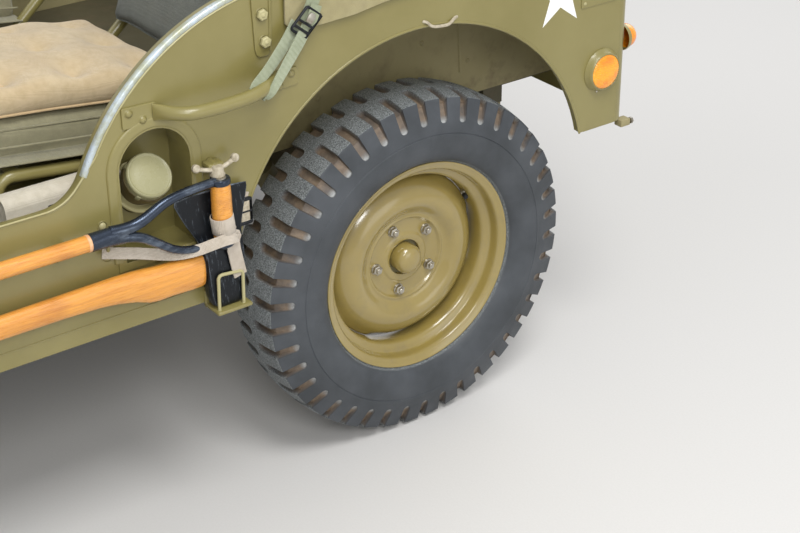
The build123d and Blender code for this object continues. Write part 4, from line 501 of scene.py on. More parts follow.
def slab(outline, thickness, bevel=0.6):
    """A flat plate of any outline, its upper edge rounded. It lies on z = 0."""
    mesh = bmesh.new()
    base = mesh.faces.new([mesh.verts.new((x, y, 0)) for x, y in outline])
    base.normal_update()
    if base.normal.z > 0:
        base.normal_flip()
    raised = bmesh.ops.extrude_face_region(mesh, geom=[base])
    top = [g for g in raised["geom"] if isinstance(g, bmesh.types.BMVert)]
    bmesh.ops.translate(mesh, verts=top, vec=(0, 0, thickness))
    rim = [e for e in mesh.edges if all(v in top for v in e.verts)]
    return take(mesh, rim, bevel, 2)


def block(x, y, z, bevel=1.0, steps=2):
    """A box about the origin with rounded edges."""
    mesh = bmesh.new()
    bmesh.ops.create_cube(mesh, size=1.0, matrix=Matrix.Diagonal((x, y, z, 1)))
    return take(mesh, mesh.edges[:], bevel, steps)


def take(mesh, edges, bevel, steps):
    """The points and faces of a working mesh once its edges are rounded."""
    if bevel:
        bmesh.ops.bevel(mesh, geom=edges, offset=bevel, segments=steps, affect="EDGES", profile=0.5)
    mesh.verts.index_update()
    points = [tuple(v.co) for v in mesh.verts]
    faces = [tuple(v.index for v in f.verts) for f in mesh.faces]
    mesh.free()
    return points, faces


def hexagon(flats, height, chamfer):
    """A six-sided nut or bolt head that stands on z = 0."""
    r = flats / math.sqrt(3)
    return lathe([(0, r), (height - chamfer, r), (height, r - chamfer * 1.3), (height, TIP)], 6)


def round_end(base, rise, radius, steps, first=0, power=1.0):
    """Rows of a profile that curve in from a radius to the tip."""
    turns = (math.pi / 2 * i / steps for i in range(first, steps + 1))
    return [(base + rise * math.sin(t), max(radius * math.cos(t) ** power, TIP)) for t in turns]


def dome(radius, height, sides=12, rows=3):
    """A round rivet head that stands on z = 0."""
    return lathe([(0, radius)] + round_end(0, height, radius, rows, 1), sides)


def link(thing, name):
    """Puts a mesh, lamp or camera into the scene."""
    made = bpy.data.objects.new(name, thing)
    bpy.context.scene.collection.objects.link(made)
    return made


class Piece:
    """Gathers shapes with their materials into one object."""

    def __init__(self):
        self.points, self.faces, self.material_of, self.smooth, self.materials = [], [], [], [], []
        self.regions = {}

    def add(self, shape, material, place=None, smooth=True, regions=None):
        points, faces = shape
        start = len(self.points)
        if material not in self.materials:
            self.materials.append(material)
        spots = [Vector(p) for p in points]
        self.points += [place @ p for p in spots] if place else spots
        self.faces += [tuple(start + i for i in face) for face in faces]
        self.material_of += [self.materials.index(material)] * len(faces)
        self.smooth += [smooth] * len(faces)
        for name, values in (regions or {}).items():
            kept = self.regions.setdefault(name, [])
            kept.extend([0.0] * (start - len(kept)))
            kept.extend(values)
        return self

    def pair(self, shape, material, place=None, smooth=True):
        """Adds a shape on the left and its mirror image on the right."""
        place = place or Matrix.Identity(4)
        self.add(shape, material, place, smooth)
        self.add(shape, material, MIRROR @ place, smooth)

    def finish(self, name, body=ROOT, slot=None, stands_for=(), angle=35, weld=0.0):
        mesh = bpy.data.meshes.new(name)
        mesh.from_pydata([p * MM for p in self.points], [], self.faces)
        for material in self.materials:
            mesh.materials.append(finishes[material])
        mesh.polygons.foreach_set("material_index", self.material_of)
        mesh.polygons.foreach_set("use_smooth", self.smooth)
        for region, values in self.regions.items():
            values.extend([0.0] * (len(self.points) - len(values)))
            mesh.attributes.new(region, "FLOAT", "POINT").data.foreach_set("value", values)
        mesh.update()
        work = bmesh.new()
        work.from_mesh(mesh)
        if weld:
            bmesh.ops.remove_doubles(work, verts=work.verts[:], dist=weld * MM)
        bmesh.ops.recalc_face_normals(work, faces=work.faces[:])
        for edge in work.edges:
            if len(edge.link_faces) == 2 and edge.calc_face_angle(0) > math.radians(angle):
                edge.smooth = False
        work.to_mesh(mesh)
        work.free()
        piece = link(mesh, name)
        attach(piece, body)
        if stands_for:
            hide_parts(*stands_for)
        return piece


# Tyres: smooth walls, and slots cut into the tread from both shoulders

CORNERS = (("front_left", 1, -1108.5), ("front_right", -1, -1108.5), ("rear_left", 1, 923.5),
           ("rear_right", -1, 923.5))
WHEEL_X = 622.5
AXLE_Z = 358.0
SPARE = (-320.0, 1583.5, 862.0)
PITCHES = 42
SLOT_HALF, SLOT_END_HALF = 10.5, 8.5
SLOT_DEPTH, SLOT_END_DEPTH = 12.5, 3.2
# Rows across half a tyre: distance from the middle, radius, and the way in at that row (across, radial)
TYRE_ROWS = (
    (0.0, 358.0, 0, -1), (4.5, 357.95, 0, -1), (5.4, 357.9, 0, -1), (7.6, 357.9, 0, -1), (11, 357.8, 0, -1),
    (16, 357.6, 0, -1), (30, 356.6, 0, -1), (44, 354.9, 0, -1), (56, 352.9, -0.1, -1),
    (61.6, 351.8, -0.35, -0.95), (62.6, 350.9, -0.55, -0.83), (64.0, 346.5, -0.75, -0.66),
    (66.6, 338, -0.9, -0.43), (69.6, 328.5, -0.94, -0.33), (72.4, 319.5, -0.95, -0.3),
    (74.3, 313.2, -0.96, -0.28), (75.1, 309.6, -0.96, -0.27), (75.7, 306.6, -0.97, -0.25),
    (76.0, 305.0, -0.97, -0.25), (76.6, 302.6, -1, 0), (78.2, 295, -1, 0), (79.4, 288.5, -1, 0),
    (79.9, 286.0, -1, 0), (78.9, 284.6, -1, 0), (79.9, 283.2, -1, 0), (79.8, 276, -1, 0), (78.9, 265, -1, 0),
    (76.9, 252, -1, 0), (73.6, 240, -1, 0), (69.2, 230.5, -1, 0), (64.5, 225.2, -1, 0), (60.5, 223.0, -1, 0),
    (57.0, 221.6, -1, 0), (55.4, 214, -1, 0),
)
SLOT_START, SLOT_STOP = 2, 18


def slot_width(row):
    """Half the slot's width at one row: round at both ends."""
    lengths = [0.0]
    for a, b in zip(TYRE_ROWS, TYRE_ROWS[1:]):
        lengths.append(lengths[-1] + math.hypot(b[0] - a[0], b[1] - a[1]))
    run = lengths[row] - lengths[SLOT_START]
    whole = lengths[SLOT_STOP] - lengths[SLOT_START]
    if not 0 <= run <= whole:
        return 0.0
    half = SLOT_HALF + (SLOT_END_HALF - SLOT_HALF) * run / whole
    edge = min(run, whole - run)
    if edge < half:
        half = math.sqrt(max(half * half - (half - edge) ** 2, 0.0))
    return half


def tyre_shape():
    """Half by half, pitch by pitch: points, faces and the regions that the rubber's colour uses."""
    points, faces = [], []
    regions = {"tread": [], "mud": [], "dusty": []}
    pitch = 2 * math.pi / PITCHES
    columns = (("out", -1.0), ("out", -0.5), ("lip", -1), ("wall", -1), ("floor", -0.5), ("floor", 0.0),
               ("floor", 0.5), ("wall", 1), ("lip", 1), ("out", 0.5))
    around = PITCHES * len(columns)
    for side, shift in ((1, 0.0), (-1, 0.5)):
        start = len(points)
        for row, (across, radius, way_x, way_r) in enumerate(TYRE_ROWS):
            half = slot_width(row)
            depth = 0.0
            if half > 0.01:
                depth = SLOT_DEPTH if radius > 350 else max(SLOT_END_DEPTH, SLOT_DEPTH - (350.9 - radius) * 0.215)
            length = math.hypot(way_x, way_r)
            muddy = 1.0 if radius > 318 else max(0.0, (radius - 306) / 12)
            for step in range(PITCHES):
                for kind, place in columns:
                    offset, sunk = place * half, 0.0
                    if kind == "out":
                        offset = math.copysign(half + (pitch * radius / 2 - half) * abs(place), place)
                    elif kind == "wall":
                        offset, sunk = place * max(half - 1.6, half * 0.55), depth
                    elif kind == "floor":
                        sunk = depth * 1.04
                    turn = (step + shift) * pitch + offset / radius
                    r = radius + way_r / length * sunk
                    points.append(((across + way_x / length * sunk) * side, -r * math.sin(turn),
                                   r * math.cos(turn)))
                    inside = kind in ("wall", "floor") and half > 0.01
                    regions["tread"].append(1.0 if across < 62 and not inside else 0.0)
                    regions["mud"].append(muddy if inside else 0.0)
                    regions["dusty"].append(1.0 - muddy if inside else 0.0)
        faces += skin(len(TYRE_ROWS), around, start)
    return points, faces, regions


# Wheels: rim, dished disc with four slots at its edge, nuts, cap and valve

RIM = ((54.5, 219.0), (57.2, 220.5), (59.4, 219.8), (60.0, 217.9), (58.9, 216.0), (56.8, 212.5), (55.4, 208),
       (54.2, 204.8), (51.5, 202.6), (46, 201.3), (38, 199.9), (34, 198.8), (32.4, 197.6), (31.3, 195.4),
       (30.1, 190.5), (27.6, 185.6), (23.5, 182.3), (18, 180.8), (8, 180.3), (-4, 180.0), (-16, 180.4),
       (-22, 183), (-28, 192), (-33, 198), (-46, 201), (-53, 203), (-56, 209), (-58.8, 216), (-60, 218),
       (-59.2, 220), (-57, 220.5))
DISC = ((-1.0, 36.5), (4.6, 36.6), (7.3, 37.6), (7.9, 40), (7.9, 49), (7.3, 51.2), (5.5, 53.2), (5.0, 56),
        (5.0, 82.0), (5.6, 84.0), (9.6, 86.2), (10.8, 88.0), (10.5, 90.2), (8.9, 92.6), (9.6, 96), (13.8, 102),
        (18.9, 108), (23.0, 114), (25.3, 120), (26.0, 126), (25.4, 132.5), (23.5, 140), (20.0, 148),
        (14.9, 156), (8.2, 163.5), (1.5, 169.5), (-2.6, 174.0), (-5.2, 178.4), (-8.5, 179.6), (-9.6, 177),
        (-6.4, 172), (-2.0, 166), (8.5, 153.5), (14.5, 143), (17.8, 131), (18, 122), (14, 110), (5, 99), (1, 92),
        (0.4, 60), (-1.0, 36.5))
SLOT_TURNS = (86, 176, 266, 356)
BOLT_R = 69.85
BOLT_TURN = 41.2
VALVE_TURN = 36


def slotted(height, radius, turn):
    """The disc's outer edge stands away from the rim at four places."""
    if radius < 168:
        return height, radius
    away = min(abs((math.degrees(turn) % 360 - s + 180) % 360 - 180) for s in SLOT_TURNS)
    share = max(0.0, min(1.0, (25 - away) / 5))
    return height + share, radius - share * (radius - 167.5) * 0.62


def wheel_place(origin, out):
    """Wheel profiles turn about z, so z goes outwards; the first angle points to the car's rear."""
    return frame_at(origin, out, Y if abs(out[0]) > 0.5 else -X)


def make_wheel(name, place, body, stands_for):
    piece = Piece()
    piece.add(lathe(RIM, 96), "wheel", place)
    piece.add(lathe(DISC, 96, slotted), "wheel", place)
    stem = place @ frame_at(polar(177.5, VALVE_TURN, 8), polar(-0.35, VALVE_TURN, 1))
    piece.add(lathe([(0, 4.2), (7, 4.2), (7.5, 2.9), (15, 2.9), (15, TIP)], 12), "steel", stem)
    piece.add(lathe([(12, 3.1), (12.4, 5.1), (22, 5.1), (23.4, 4.2), (23.4, TIP)], 14), "black", stem)
    return piece.finish(name, body, "wheel_paint", stands_for, angle=50)


def make_hub(name, place, body, stands_for):
    piece = Piece()
    cap = [(-6, 30.6), (19.5, 30.2), (23.2, 29.4), (25.6, 27.4)] + round_end(25.6, 9.6, 27.0, 7, 1)
    piece.add(lathe(cap, 48), "wheel", place)
    drum = ((-58, 22), (-58, 38), (-10, 38), (-10, 112), (-58, 114), (-58, 122), (-3.0, 122), (-1.6, 120),
            (-1.2, 40), (-3, 30))
    piece.add(lathe(drum, 64), "frame", place)
    for turn in (BOLT_TURN + 72 * i for i in range(5)):
        spot = place @ Matrix.Translation(polar(BOLT_R, turn, 5.0)) @ turned(turn * 1.7)
        piece.add(lathe([(0, 11.6), (2.6, 11.0), (3.2, 9.6)], 20), "steel", spot)
        piece.add(hexagon(18.6, 11.0, 1.6), "steel", spot, smooth=False)
        piece.add(lathe([(9, 6.2), (13.4, 6.2), (14.6, 5.2), (14.6, TIP)], 14), "steel", spot)
    return piece.finish(name, body, "hub_paint", stands_for, angle=40)


def make_tyre(name, place, body, shape, regions):
    piece = Piece().add(shape, "tyre", place, regions=regions)
    piece.finish(f"tyre_detail_{name}", body, "tyre_rubber", [f"tyre_{name}"], angle=32, weld=0.02)


def make_running_gear():
    points, faces, regions = tyre_shape()
    shape = (points, faces)
    for corner, side, axle_y in CORNERS:
        body = f"road_wheel_{corner}"
        origin = (side * WHEEL_X, axle_y, AXLE_Z)
        make_tyre(corner, at(*origin) @ turned(180 if side < 0 else 0), body, shape, regions)
        place = wheel_place(origin, (side, 0, 0))
        make_wheel(f"wheel_detail_{corner}", place, body, [f"wheel_{corner}"])
        make_hub(f"hub_detail_{corner}", place, body, [f"hub_{corner}"])
    make_tyre("spare", at(*SPARE) @ turned(90), ROOT, shape, regions)
    make_wheel("wheel_detail_spare", wheel_place(SPARE, Y), ROOT, ["wheel_spare"])


# Body sides: rolled lips along the door opening, the rail and the wheel arch, and what is fixed to them

BODY_X = 728.0
RAIL_Z = 1033.0
DOOR_ARC = (603.5, 595.0, 438.0)
DOOR_FLAT_Z = 731.0
FILLET = (132.7, 811.0, 80.0)
ARCH = (888.5, 466.0, 415.0)
SIDE_REAR_Y = 1386.5
REAR_Y = 1411.5
REAR_EDGE_Z = 564.0
CORNER_R = 25
SILL_BEAD_Z = 506
LIP = [(1.4, 0.5), (0.2, 0.45), (-0.5, -0.4), (-0.8, -2), (-0.8, -18.4), (-0.2, -19.4), (0.5, -18.6), (0.4, -3),
       (1.4, -0.6)]
RIDGE = [(1.9, -0.6), (1.3, 0.7), (0.4, 1.2), (-0.4, 1.2), (-1.3, 0.7), (-1.9, -0.6)]
# Section of the pale band on the door opening's rolled lip: worn paint and a painted highlight.
WEAR_AND_HIGHLIGHT_BAND = [(8, 0.5), (5.5, 1.5), (2.5, 1.7), (0.4, 0.9), (-0.9, -0.8), (-1.4, -3), (-1.4, -8.4), (-0.4, -9.6),
             (1, -8), (1, -3), (5, -0.5)]
ARCH_LIP = [(-0.4, -14), (-1.0, -13), (-1.0, -1.6), (-0.6, 0.2), (0.4, 1.3), (1.8, 1.7), (3.6, 1.3), (5, 0.3),
            (4, -0.5), (1, -2)]


def on_side(flat_points, x=BODY_X):
    """Points of the side view, put on the plane of the left side."""
    return [Vector((x, y, z)) for y, z in flat_points]


def side_place(y=0.0, z=0.0, off=0.0, turn=0.0):
    """A spot on the left side, or off it: local z points outwards, x to the rear and y up."""
    return frame_at((BODY_X + off, y, z), X, Y) @ turned(turn)


def door_line():
    """The door opening's edge from the cowl to the top rail, in two parts."""
    joint = math.degrees(math.atan2(FILLET[1] - DOOR_ARC[1], FILLET[0] - DOOR_ARC[0]))
    line = [(-300, 1036), (-300, 931)] + arc((-100, 931), 200, 180, 270, 16)[1:]
    line += [(0, DOOR_FLAT_Z), (80, DOOR_FLAT_Z)] + arc(FILLET[:2], FILLET[2], 270, 180 + joint, 12)
    return line, arc(DOOR_ARC[:2], DOOR_ARC[2], joint, 90, 44)


def make_edges():
    low, high = door_line()
    piece = Piece()
    rail = [high[-1], (700, RAIL_Z), (1000, RAIL_Z), (SIDE_REAR_Y, RAIL_Z)]
    shrink = 427.5 / DOOR_ARC[2]
    inner = [(DOOR_ARC[0] + (y - DOOR_ARC[0]) * shrink, DOOR_ARC[1] + (z - DOOR_ARC[1]) * shrink)
             for y, z in high]
    start = [(y, z + 3.0) for y, z in low if y > -95]
    for path, section, tint in (
        (on_side(low + high[1:]), LIP, "body"),
        (on_side(rail), LIP, "body"),
        # Bluish-white band on the door opening's rolled lip: worn paint, partly a painted highlight.
        (on_side(high[:38]), WEAR_AND_HIGHLIGHT_BAND, "edge"),
        # Pale ridge just inside the door opening's edge: a painted highlight.
        (smooth_path(on_side(start[:-3] + inner[3:], BODY_X + 0.3), 2), RIDGE, "pale"),
        (on_side([(y, z - 10) for y, z in rail]), RIDGE, "body"),
        (on_side(arc(ARCH[:2], ARCH[2], 178.9, 13.6, 60)), ARCH_LIP, "body"),
        (on_side([(-330, SILL_BEAD_Z), (100, SILL_BEAD_Z), (468, SILL_BEAD_Z)]), RIDGE, "body"),
        (on_side([(1300, REAR_EDGE_Z + 1), (SIDE_REAR_Y, REAR_EDGE_Z + 1)]), LIP, "body"),
    ):
        piece.pair(sweep(path, section, X), tint)
    inset = BODY_X - CORNER_R
    piece.add(sweep([(inset, REAR_Y, RAIL_Z), (-inset, REAR_Y, RAIL_Z)], LIP, Y), "body")
    for side in SIDES:
        corner = [(side * (inset + x), SIDE_REAR_Y + y, RAIL_Z - 0.5) for y, x in arc((0, 0), CORNER_R, 0, 90, 8)]
        piece.add(sweep(corner, circle(2.0, 8)), "body")
    return piece.finish("body_edges", slot="body_paint", angle=50)


def make_handles():
    """Grab handles: flattened ends, riveted plates, and the rear end bent sharply in."""
    piece = Piece()
    path = smooth_path([(731, 340, 858), (744, 354, 858), (762, 371, 857.5), (774, 396, 857), (775.5, 441, 856),
                        (775.5, 490, 858), (773, 517, 861), (765, 539, 864), (752, 556, 864.5), (739, 567, 862),
                        (730, 575, 860)], 6)

    def section(share):
        swell = min(1.0, share / 0.16, (1 - share) / 0.1)
        return oval(2.2 + 9.8 * math.sin(swell * math.pi / 2) ** 0.9, 15.5 - 3.5 * swell, 20)

    piece.pair(sweep(path, section, Z), "body")
    front = [(283.5, 841), (286, 839.8), (349, 838.4), (352.6, 841), (352, 858), (347, 873), (344, 875.3),
             (286, 877.2), (283.5, 875)]
    rear = [(564, 838), (568, 834.5), (620, 837), (624.5, 840.5), (624.5, 866), (621, 869.8), (566, 869.8),
            (564, 867)]
    for outline, rivets in ((front, ((296, 866), (321, 849.5))), (rear, ((610, 859.5), (586, 841.5)))):
        piece.pair(slab(outline, 3.4, 0.9), "body", side_place(), smooth=False)
        for y, z in rivets:
            piece.pair(lathe([(0, 8.2), (0.8, 7.8), (1.2, 6.6)], 18), "body", side_place(y, z, 3.2))
            piece.pair(dome(6.4, 3.6, 16, 4), "body", side_place(y, z, 3.6))
    return piece.finish("handle_detail", slot="body_paint", stands_for=["grab_handles"], angle=42)


FILLER_Y, FILLER_Z, FILLER_R = 336.5, 761.0, 78.5


def make_recess():
    """The pressed border of the filler recess."""
    front, rear = ([(y, z) for z in (604, 640, 700)] for y in (FILLER_Y - FILLER_R, FILLER_Y + FILLER_R))
    path = front + arc((FILLER_Y, FILLER_Z), FILLER_R, 180, 0, 28) + rear[::-1]
    border = [(-13, 0.1), (-10.5, 2.6), (-7.5, 3.9), (-2, 3.7), (4, 3.6), (9, 4.0), (11.5, 3.4), (13.6, 1.2),
              (14.2, -3), (12, -4), (-12, -1)]
    piece = Piece().add(sweep(on_side(path), [(-a * 0.82, b) for a, b in border], X), "body")
    return piece.finish("filler_detail", slot="body_paint", angle=38)


def make_bow_socket():
    """The bracket for the hood bow: a pressed strip with two bolts, and the small fittings of the sides."""
    piece = Piece()
    outline = [(541, 919), (543.5, 908), (549, 903), (566, 903), (572, 908), (574.5, 919), (577.5, 985),
               (579, 1030), (537, 1030), (537.5, 1005)]
    rib = [(568.0, 912), (571.5, 912), (575.5, 1028), (571.0, 1028)]
    piece.pair(slab(outline, 3.2, 1.0), "body", side_place(), smooth=False)
    piece.pair(slab(rib, 5.6, 1.2), "body", side_place(), smooth=False)
    for y, z in ((556, 978.7), (560, 929.6)):
        piece.pair(lathe([(0, 12.2), (1.2, 12.0), (1.7, 11)], 24), "body", side_place(y, z, 3))
        piece.pair(hexagon(18.0, 6.5, 1.6), "pale", side_place(y, z, 4.4, 14), smooth=False)
        piece.pair(dome(4.6, 2.2), "pale", side_place(y, z, 10.6))
    hook = smooth_path([(727, 896, 889), (731, 903, 886), (732, 912, 878), (732.5, 921, 874.6),
                        (732.5, 936, 872.6), (732.5, 951, 872.2), (731.5, 960, 876.5), (730, 967, 880),
                        (727, 975, 881)], 4)
    piece.pair(sweep(hook, circle(3.0, 10, 0.7)), "zinc")
    piece.pair(block(22, 26, 15, 2.5), "inner", at(713, 1422, 549))
    piece.pair(hexagon(12, 6, 1), "steel", frame_at((718, 1438, 549), Y), smooth=False)
    piece.pair(block(20, 96, 4, 1), "inner", at(706, 1352, 560))
    return piece.finish("side_fittings", slot="body_paint", angle=38)


STAR_Y, STAR_Z, STAR_R = 1225.5, 871.5, 74.0


def make_markings():
    """The plain star and the blank riveted plate of each side."""
    piece = Piece()
    points = (polar(STAR_R * (0.382 if i % 2 else 1), 90 + 36 * i) for i in range(10))
    star = [(STAR_Y + p.x, STAR_Z + p.y) for p in points]
    piece.pair(slab(star, 0.35, 0), "white", side_place(off=0.1), smooth=False)
    plate = [(1279, 829), (1282, 827.6), (1366, 827.6), (1369, 829), (1369, 900), (1366, 902), (1282, 902),
             (1279, 900)]
    piece.pair(slab(plate, 1.6, 0.5), "body", side_place(off=0.1), smooth=False)
    for y, z in ((1288, 837), (1360, 837), (1288, 893), (1360, 893)):
        piece.pair(dome(3.6, 2.0), "pale", side_place(y, z, 1.6))
    return piece.finish("side_markings", slot="body_paint", angle=38)


def make_lamps():
    """Amber side lamps in olive rims, amber and red lamps at the rear."""
    piece = Piece()
    rim = [(0, 44.6), (1.6, 44.8), (3.2, 43.6), (9, 40.4), (13.4, 38.4), (15.2, 37.0), (15.6, 35.6), (14.2, 34.8)]
    piece.pair(lathe(rim, 56), "body", side_place(1340, 688))
    piece.pair(lathe([(13.0, 35.4)] + round_end(14.2, 4.2, 35.2, 8), 48), "amber", side_place(1340, 688))
    piece.pair(dome(2.6, 1.4, 10), "steel", side_place(1324, 648, 8))
    for x, z, r, tint in ((702, 733, 28, "amber"), (640, 640, 34, "red")):
        spot = frame_at((x, REAR_Y, z), Y)
        piece.pair(lathe([(0, r), (3, r + 0.3), (7, r - 0.6), (9.5, r - 2), (10.5, r - 4)], 40), "body", spot)
        piece.pair(lathe([(9, r - 3)] + round_end(12, 23.5, r - 3, 9, power=0.85), 40), tint, spot)
    return piece.finish("lamp_detail", slot="lamp_lens", stands_for=["marker_lamps"], angle=38)


# Tools on the left side, their mounts and straps

SHOVEL_X, SHOVEL_Z = 762, 676.5
GRIP_Y, GRIP_TOP, GRIP_LOW = 440, 717, 601
HELVE_X = 749


def make_shovel():
    """Shovel: wooden shaft, forked steel strap, wooden grip between its arms, and the blade."""
    piece = Piece()

    def shaft(*along):
        return [(SHOVEL_X, y, SHOVEL_Z) for y in along]

    piece.add(sweep(shaft(194, 150, 90, 0, -120, -215, -250), circle(14.2, 24), Z), "wood")
    piece.add(sweep(shaft(192, 184), circle(14.8, 24), Z), "wood_pale")
    socket = smooth_path([(762, 190, 676.5), (762, 212, 676.3), (762, 238, 675.5), (762, 256, 674.5)], 5)
    piece.add(sweep(socket, lambda share: oval(15.6 - 5.5 * share, 15.6 + 2.5 * share, 24), Z), "fork")
    upper = ((762, 228, 683.5), (764, 250, 683), (765, 270, 684.5), (766, 289, 690), (766, 308, 699),
             (765, 328, 707.5), (764, 350, 712.5), (763, 380, 715.8), (762, 410, 717), (762, 432, 717))
    lower = ((762, 228, 670.5), (764, 250, 668.5), (765, 268, 664.5), (766, 286, 657), (766, 305, 644),
             (765, 325, 629), (764, 343, 617), (763, 368, 607.5), (762, 400, 603), (762, 432, 601.5))
    for spots, grow in ((upper, 1.0), (lower, 0.86)):
        def arm(share, grow=grow):
            return oval((10.6 - 2.8 * min(share * 1.4, 1.0)) * grow, (11.4 - 3.2 * min(share * 1.3, 1.0)) * grow, 18)
        piece.add(sweep(smooth_path(spots, 5), arm, Z), "fork")
    grip = at(SHOVEL_X, GRIP_Y, 0)
    for z in (GRIP_TOP, GRIP_LOW):
        piece.add(lathe([(-5.5, 13.0), (-5.5, 16.8), (-3.4, 18), (3.4, 18), (5.5, 16.8), (5.5, 13), (5.5, TIP)], 32),
                  "fork", grip @ at(0, 0, z))
    piece.add(lathe([(604, 16.0), (607, 17.2), (630, 17.9), (660, 18.2), (690, 17.9), (707, 17.2), (711, 16.0)], 36),
              "wood", grip)
    piece.add(lathe([(722, 10.8), (724.4, 10.2), (724.8, 7), (724.8, TIP)], 24), "steel", grip)
    piece.add(hexagon(16, 8, 1.4), "black", grip @ at(0, 0, 588), smooth=False)
    nose = ((polar(1, t).x, polar(1, t).y) for t in range(90, 271, 12))
    blade = [(-250, 30), (-280, 75)] + [(-418 + 112 * c, 75 * s) for c, s in nose] + [(-280, -75), (-250, -30)]
    piece.add(slab(blade, 4.0, 1.0), "blade", frame_at((755, 0, SHOVEL_Z), X, Y), smooth=False)
    neck = smooth_path([(762, -205, 676.5), (761, -250, 676.5), (759.5, -300, 676.5), (758, -350, 676.5)], 5)
    piece.add(sweep(neck, lambda share: oval(15.5 - 12 * share, 15.5 - 8 * share, 18), Z), "blade")
    return piece.finish("shovel_detail", slot="tool_wood", stands_for=["shovel"], angle=42)


# Rows of the helve: y, z, half its height, half its depth
HELVE = ((-318, 570, 24, 13), (-310, 569, 26, 15), (-285, 568, 25, 15), (-240, 568, 21, 13.5),
         (-120, 568, 20.5, 13.2), (0, 568.5, 20.5, 13.2), (60, 569, 20.8, 13.2), (140, 569.5, 21.5, 13.4),
         (200, 569, 23, 13.6), (235, 567, 25.5, 13.8), (268, 563, 29, 14), (294, 557, 33.0, 14),
         (312, 555, 33.2, 14), (336, 555, 32.2, 14), (376, 553.5, 32, 14), (394, 553.5, 31.5, 13.6),
         (401, 553.5, 29.5, 12), (403.5, 553.5, 24, 9))
# Rows of the head: z, its two ends in y, half its thickness, x
AXE_HEAD = ((474, 424, 466, 9, 752), (477, 419, 471, 11.5, 752), (482, 413, 477, 13, 752), (500, 408, 480, 14, 751),
            (535, 405, 482, 14.5, 750), (575, 403, 482, 14.5, 749), (597, 400, 483, 10.5, 745),
            (612, 395, 486, 6.2, 741), (640, 379, 493, 5, 740), (668, 366, 500.5, 3.6, 739.5),
            (682, 360, 504, 1.8, 739.5), (689, 362, 503, 0.5, 739.5))
EDGE_Z, EDGE_LENGTH, EDGE_CURVE = 660, 29, 5.0


def make_axe():
    """Axe: hickory helve that swells at the eye, and a scratched dark head with its edge up."""
    def helve(a, b, y, z, half, deep):
        return HELVE_X + deep * a, y, z + half * b

    def head(a, b, z, y0, y1, deep, x):
        curve = EDGE_CURVE * (1 - a ** 2) * max(0.0, (z - EDGE_Z) / EDGE_LENGTH)
        return x + deep * b, (y0 + y1) / 2 + (y1 - y0) / 2 * a, z + curve

    piece = Piece().add(loft(HELVE, 28, 2.4, helve), "wood").add(loft(AXE_HEAD, 24, 7, head), "blade")
    return piece.finish("axe_detail", slot="tool_wood", stands_for=["axe"], angle=40)


def make_tool_mounts():
    """Clamps and brackets of the tools, on the body's left side."""
    piece = Piece()
    wing = [(724.6, TIP), (724.6, 13.4), (727, 13.6), (729, 12.2), (739, 10.8), (742, 9.6), (743, 6), (743, TIP)]
    piece.add(lathe(wing, 24), "zinc", at(754, GRIP_Y, 0))
    for way in (-1, 1):
        arm = [(754, GRIP_Y + way * 6, 736), (753, GRIP_Y + way * 18, 738), (751, GRIP_Y + way * 29, 741),
               (750, GRIP_Y + way * 37, 744)]
        piece.add(sweep(smooth_path(arm, 4), circle(4.0, 12, 0.8)), "zinc")
        piece.add(lathe([(-5, TIP), (-5, 5), (-3, 7.4), (3, 7.4), (5, 5), (5, TIP)], 18), "zinc",
                  frame_at((750, GRIP_Y + way * 38, 745), (1, 0, 0.2)))
    piece.add(block(24, 30, 8, 2), "body", at(741, GRIP_Y, 741))
    piece.add(sweep(smooth_path([(729, 440, 742), (740, 440, 742), (752, 440, 741)], 3), circle(6)), "body")
    rod = bend([(768.5, 419, 473), (769.5, 420, 543), (769.5, 469.5, 538), (768.5, 468.5, 473)], 9, 6)
    piece.add(sweep(rod, circle(3.1, 14)), "pale")
    piece.add(block(52, 70, 7, 2), "body", at(751, 447, 470))
    piece.add(block(5, 70, 34, 1.5), "body", at(730.2, 447, 482))
    for y in (420, 474):
        piece.add(hexagon(11, 5, 1), "body", side_place(y, 490, 4.6, 10), smooth=False)
    for y, z, reach, half in ((150, 676.5, 748, 16), (-60, 676.5, 748, 16), (100, 568, 735.5, 23),
                              (-120, 568, 735.5, 23)):
        thick = reach - BODY_X
        low = z - half
        piece.add(block(thick, 26, 22, 1.5), "body", at(BODY_X + thick / 2, y, low))
        hook = bend([(BODY_X + 1, y, low - 3), (reach + 8, y, low - 3), (reach + 8, y, low + 8)], 6, 4)
        piece.add(sweep(hook, flat_band(24, 2.6), Z, hold=False), "body")
    for y, z in ((231.5, 681.4), (235, 622.5)):
        piece.add(lathe([(0, 9.5), (1.0, 9.3), (1.4, 8.2)], 20), "body", side_place(y, z))
        piece.add(dome(6.6, 4.4, 16, 4), "pale", side_place(y, z, 1.2))
    loop_rod = bend([(730, 232, 668), (739, 232, 664), (739, 233, 640), (730, 234, 634)], 4, 4)
    piece.add(sweep(loop_rod, circle(3.2)), "body")
    return piece.finish("tool_mount_detail", slot="body_paint", stands_for=["tool_brackets"], angle=40)


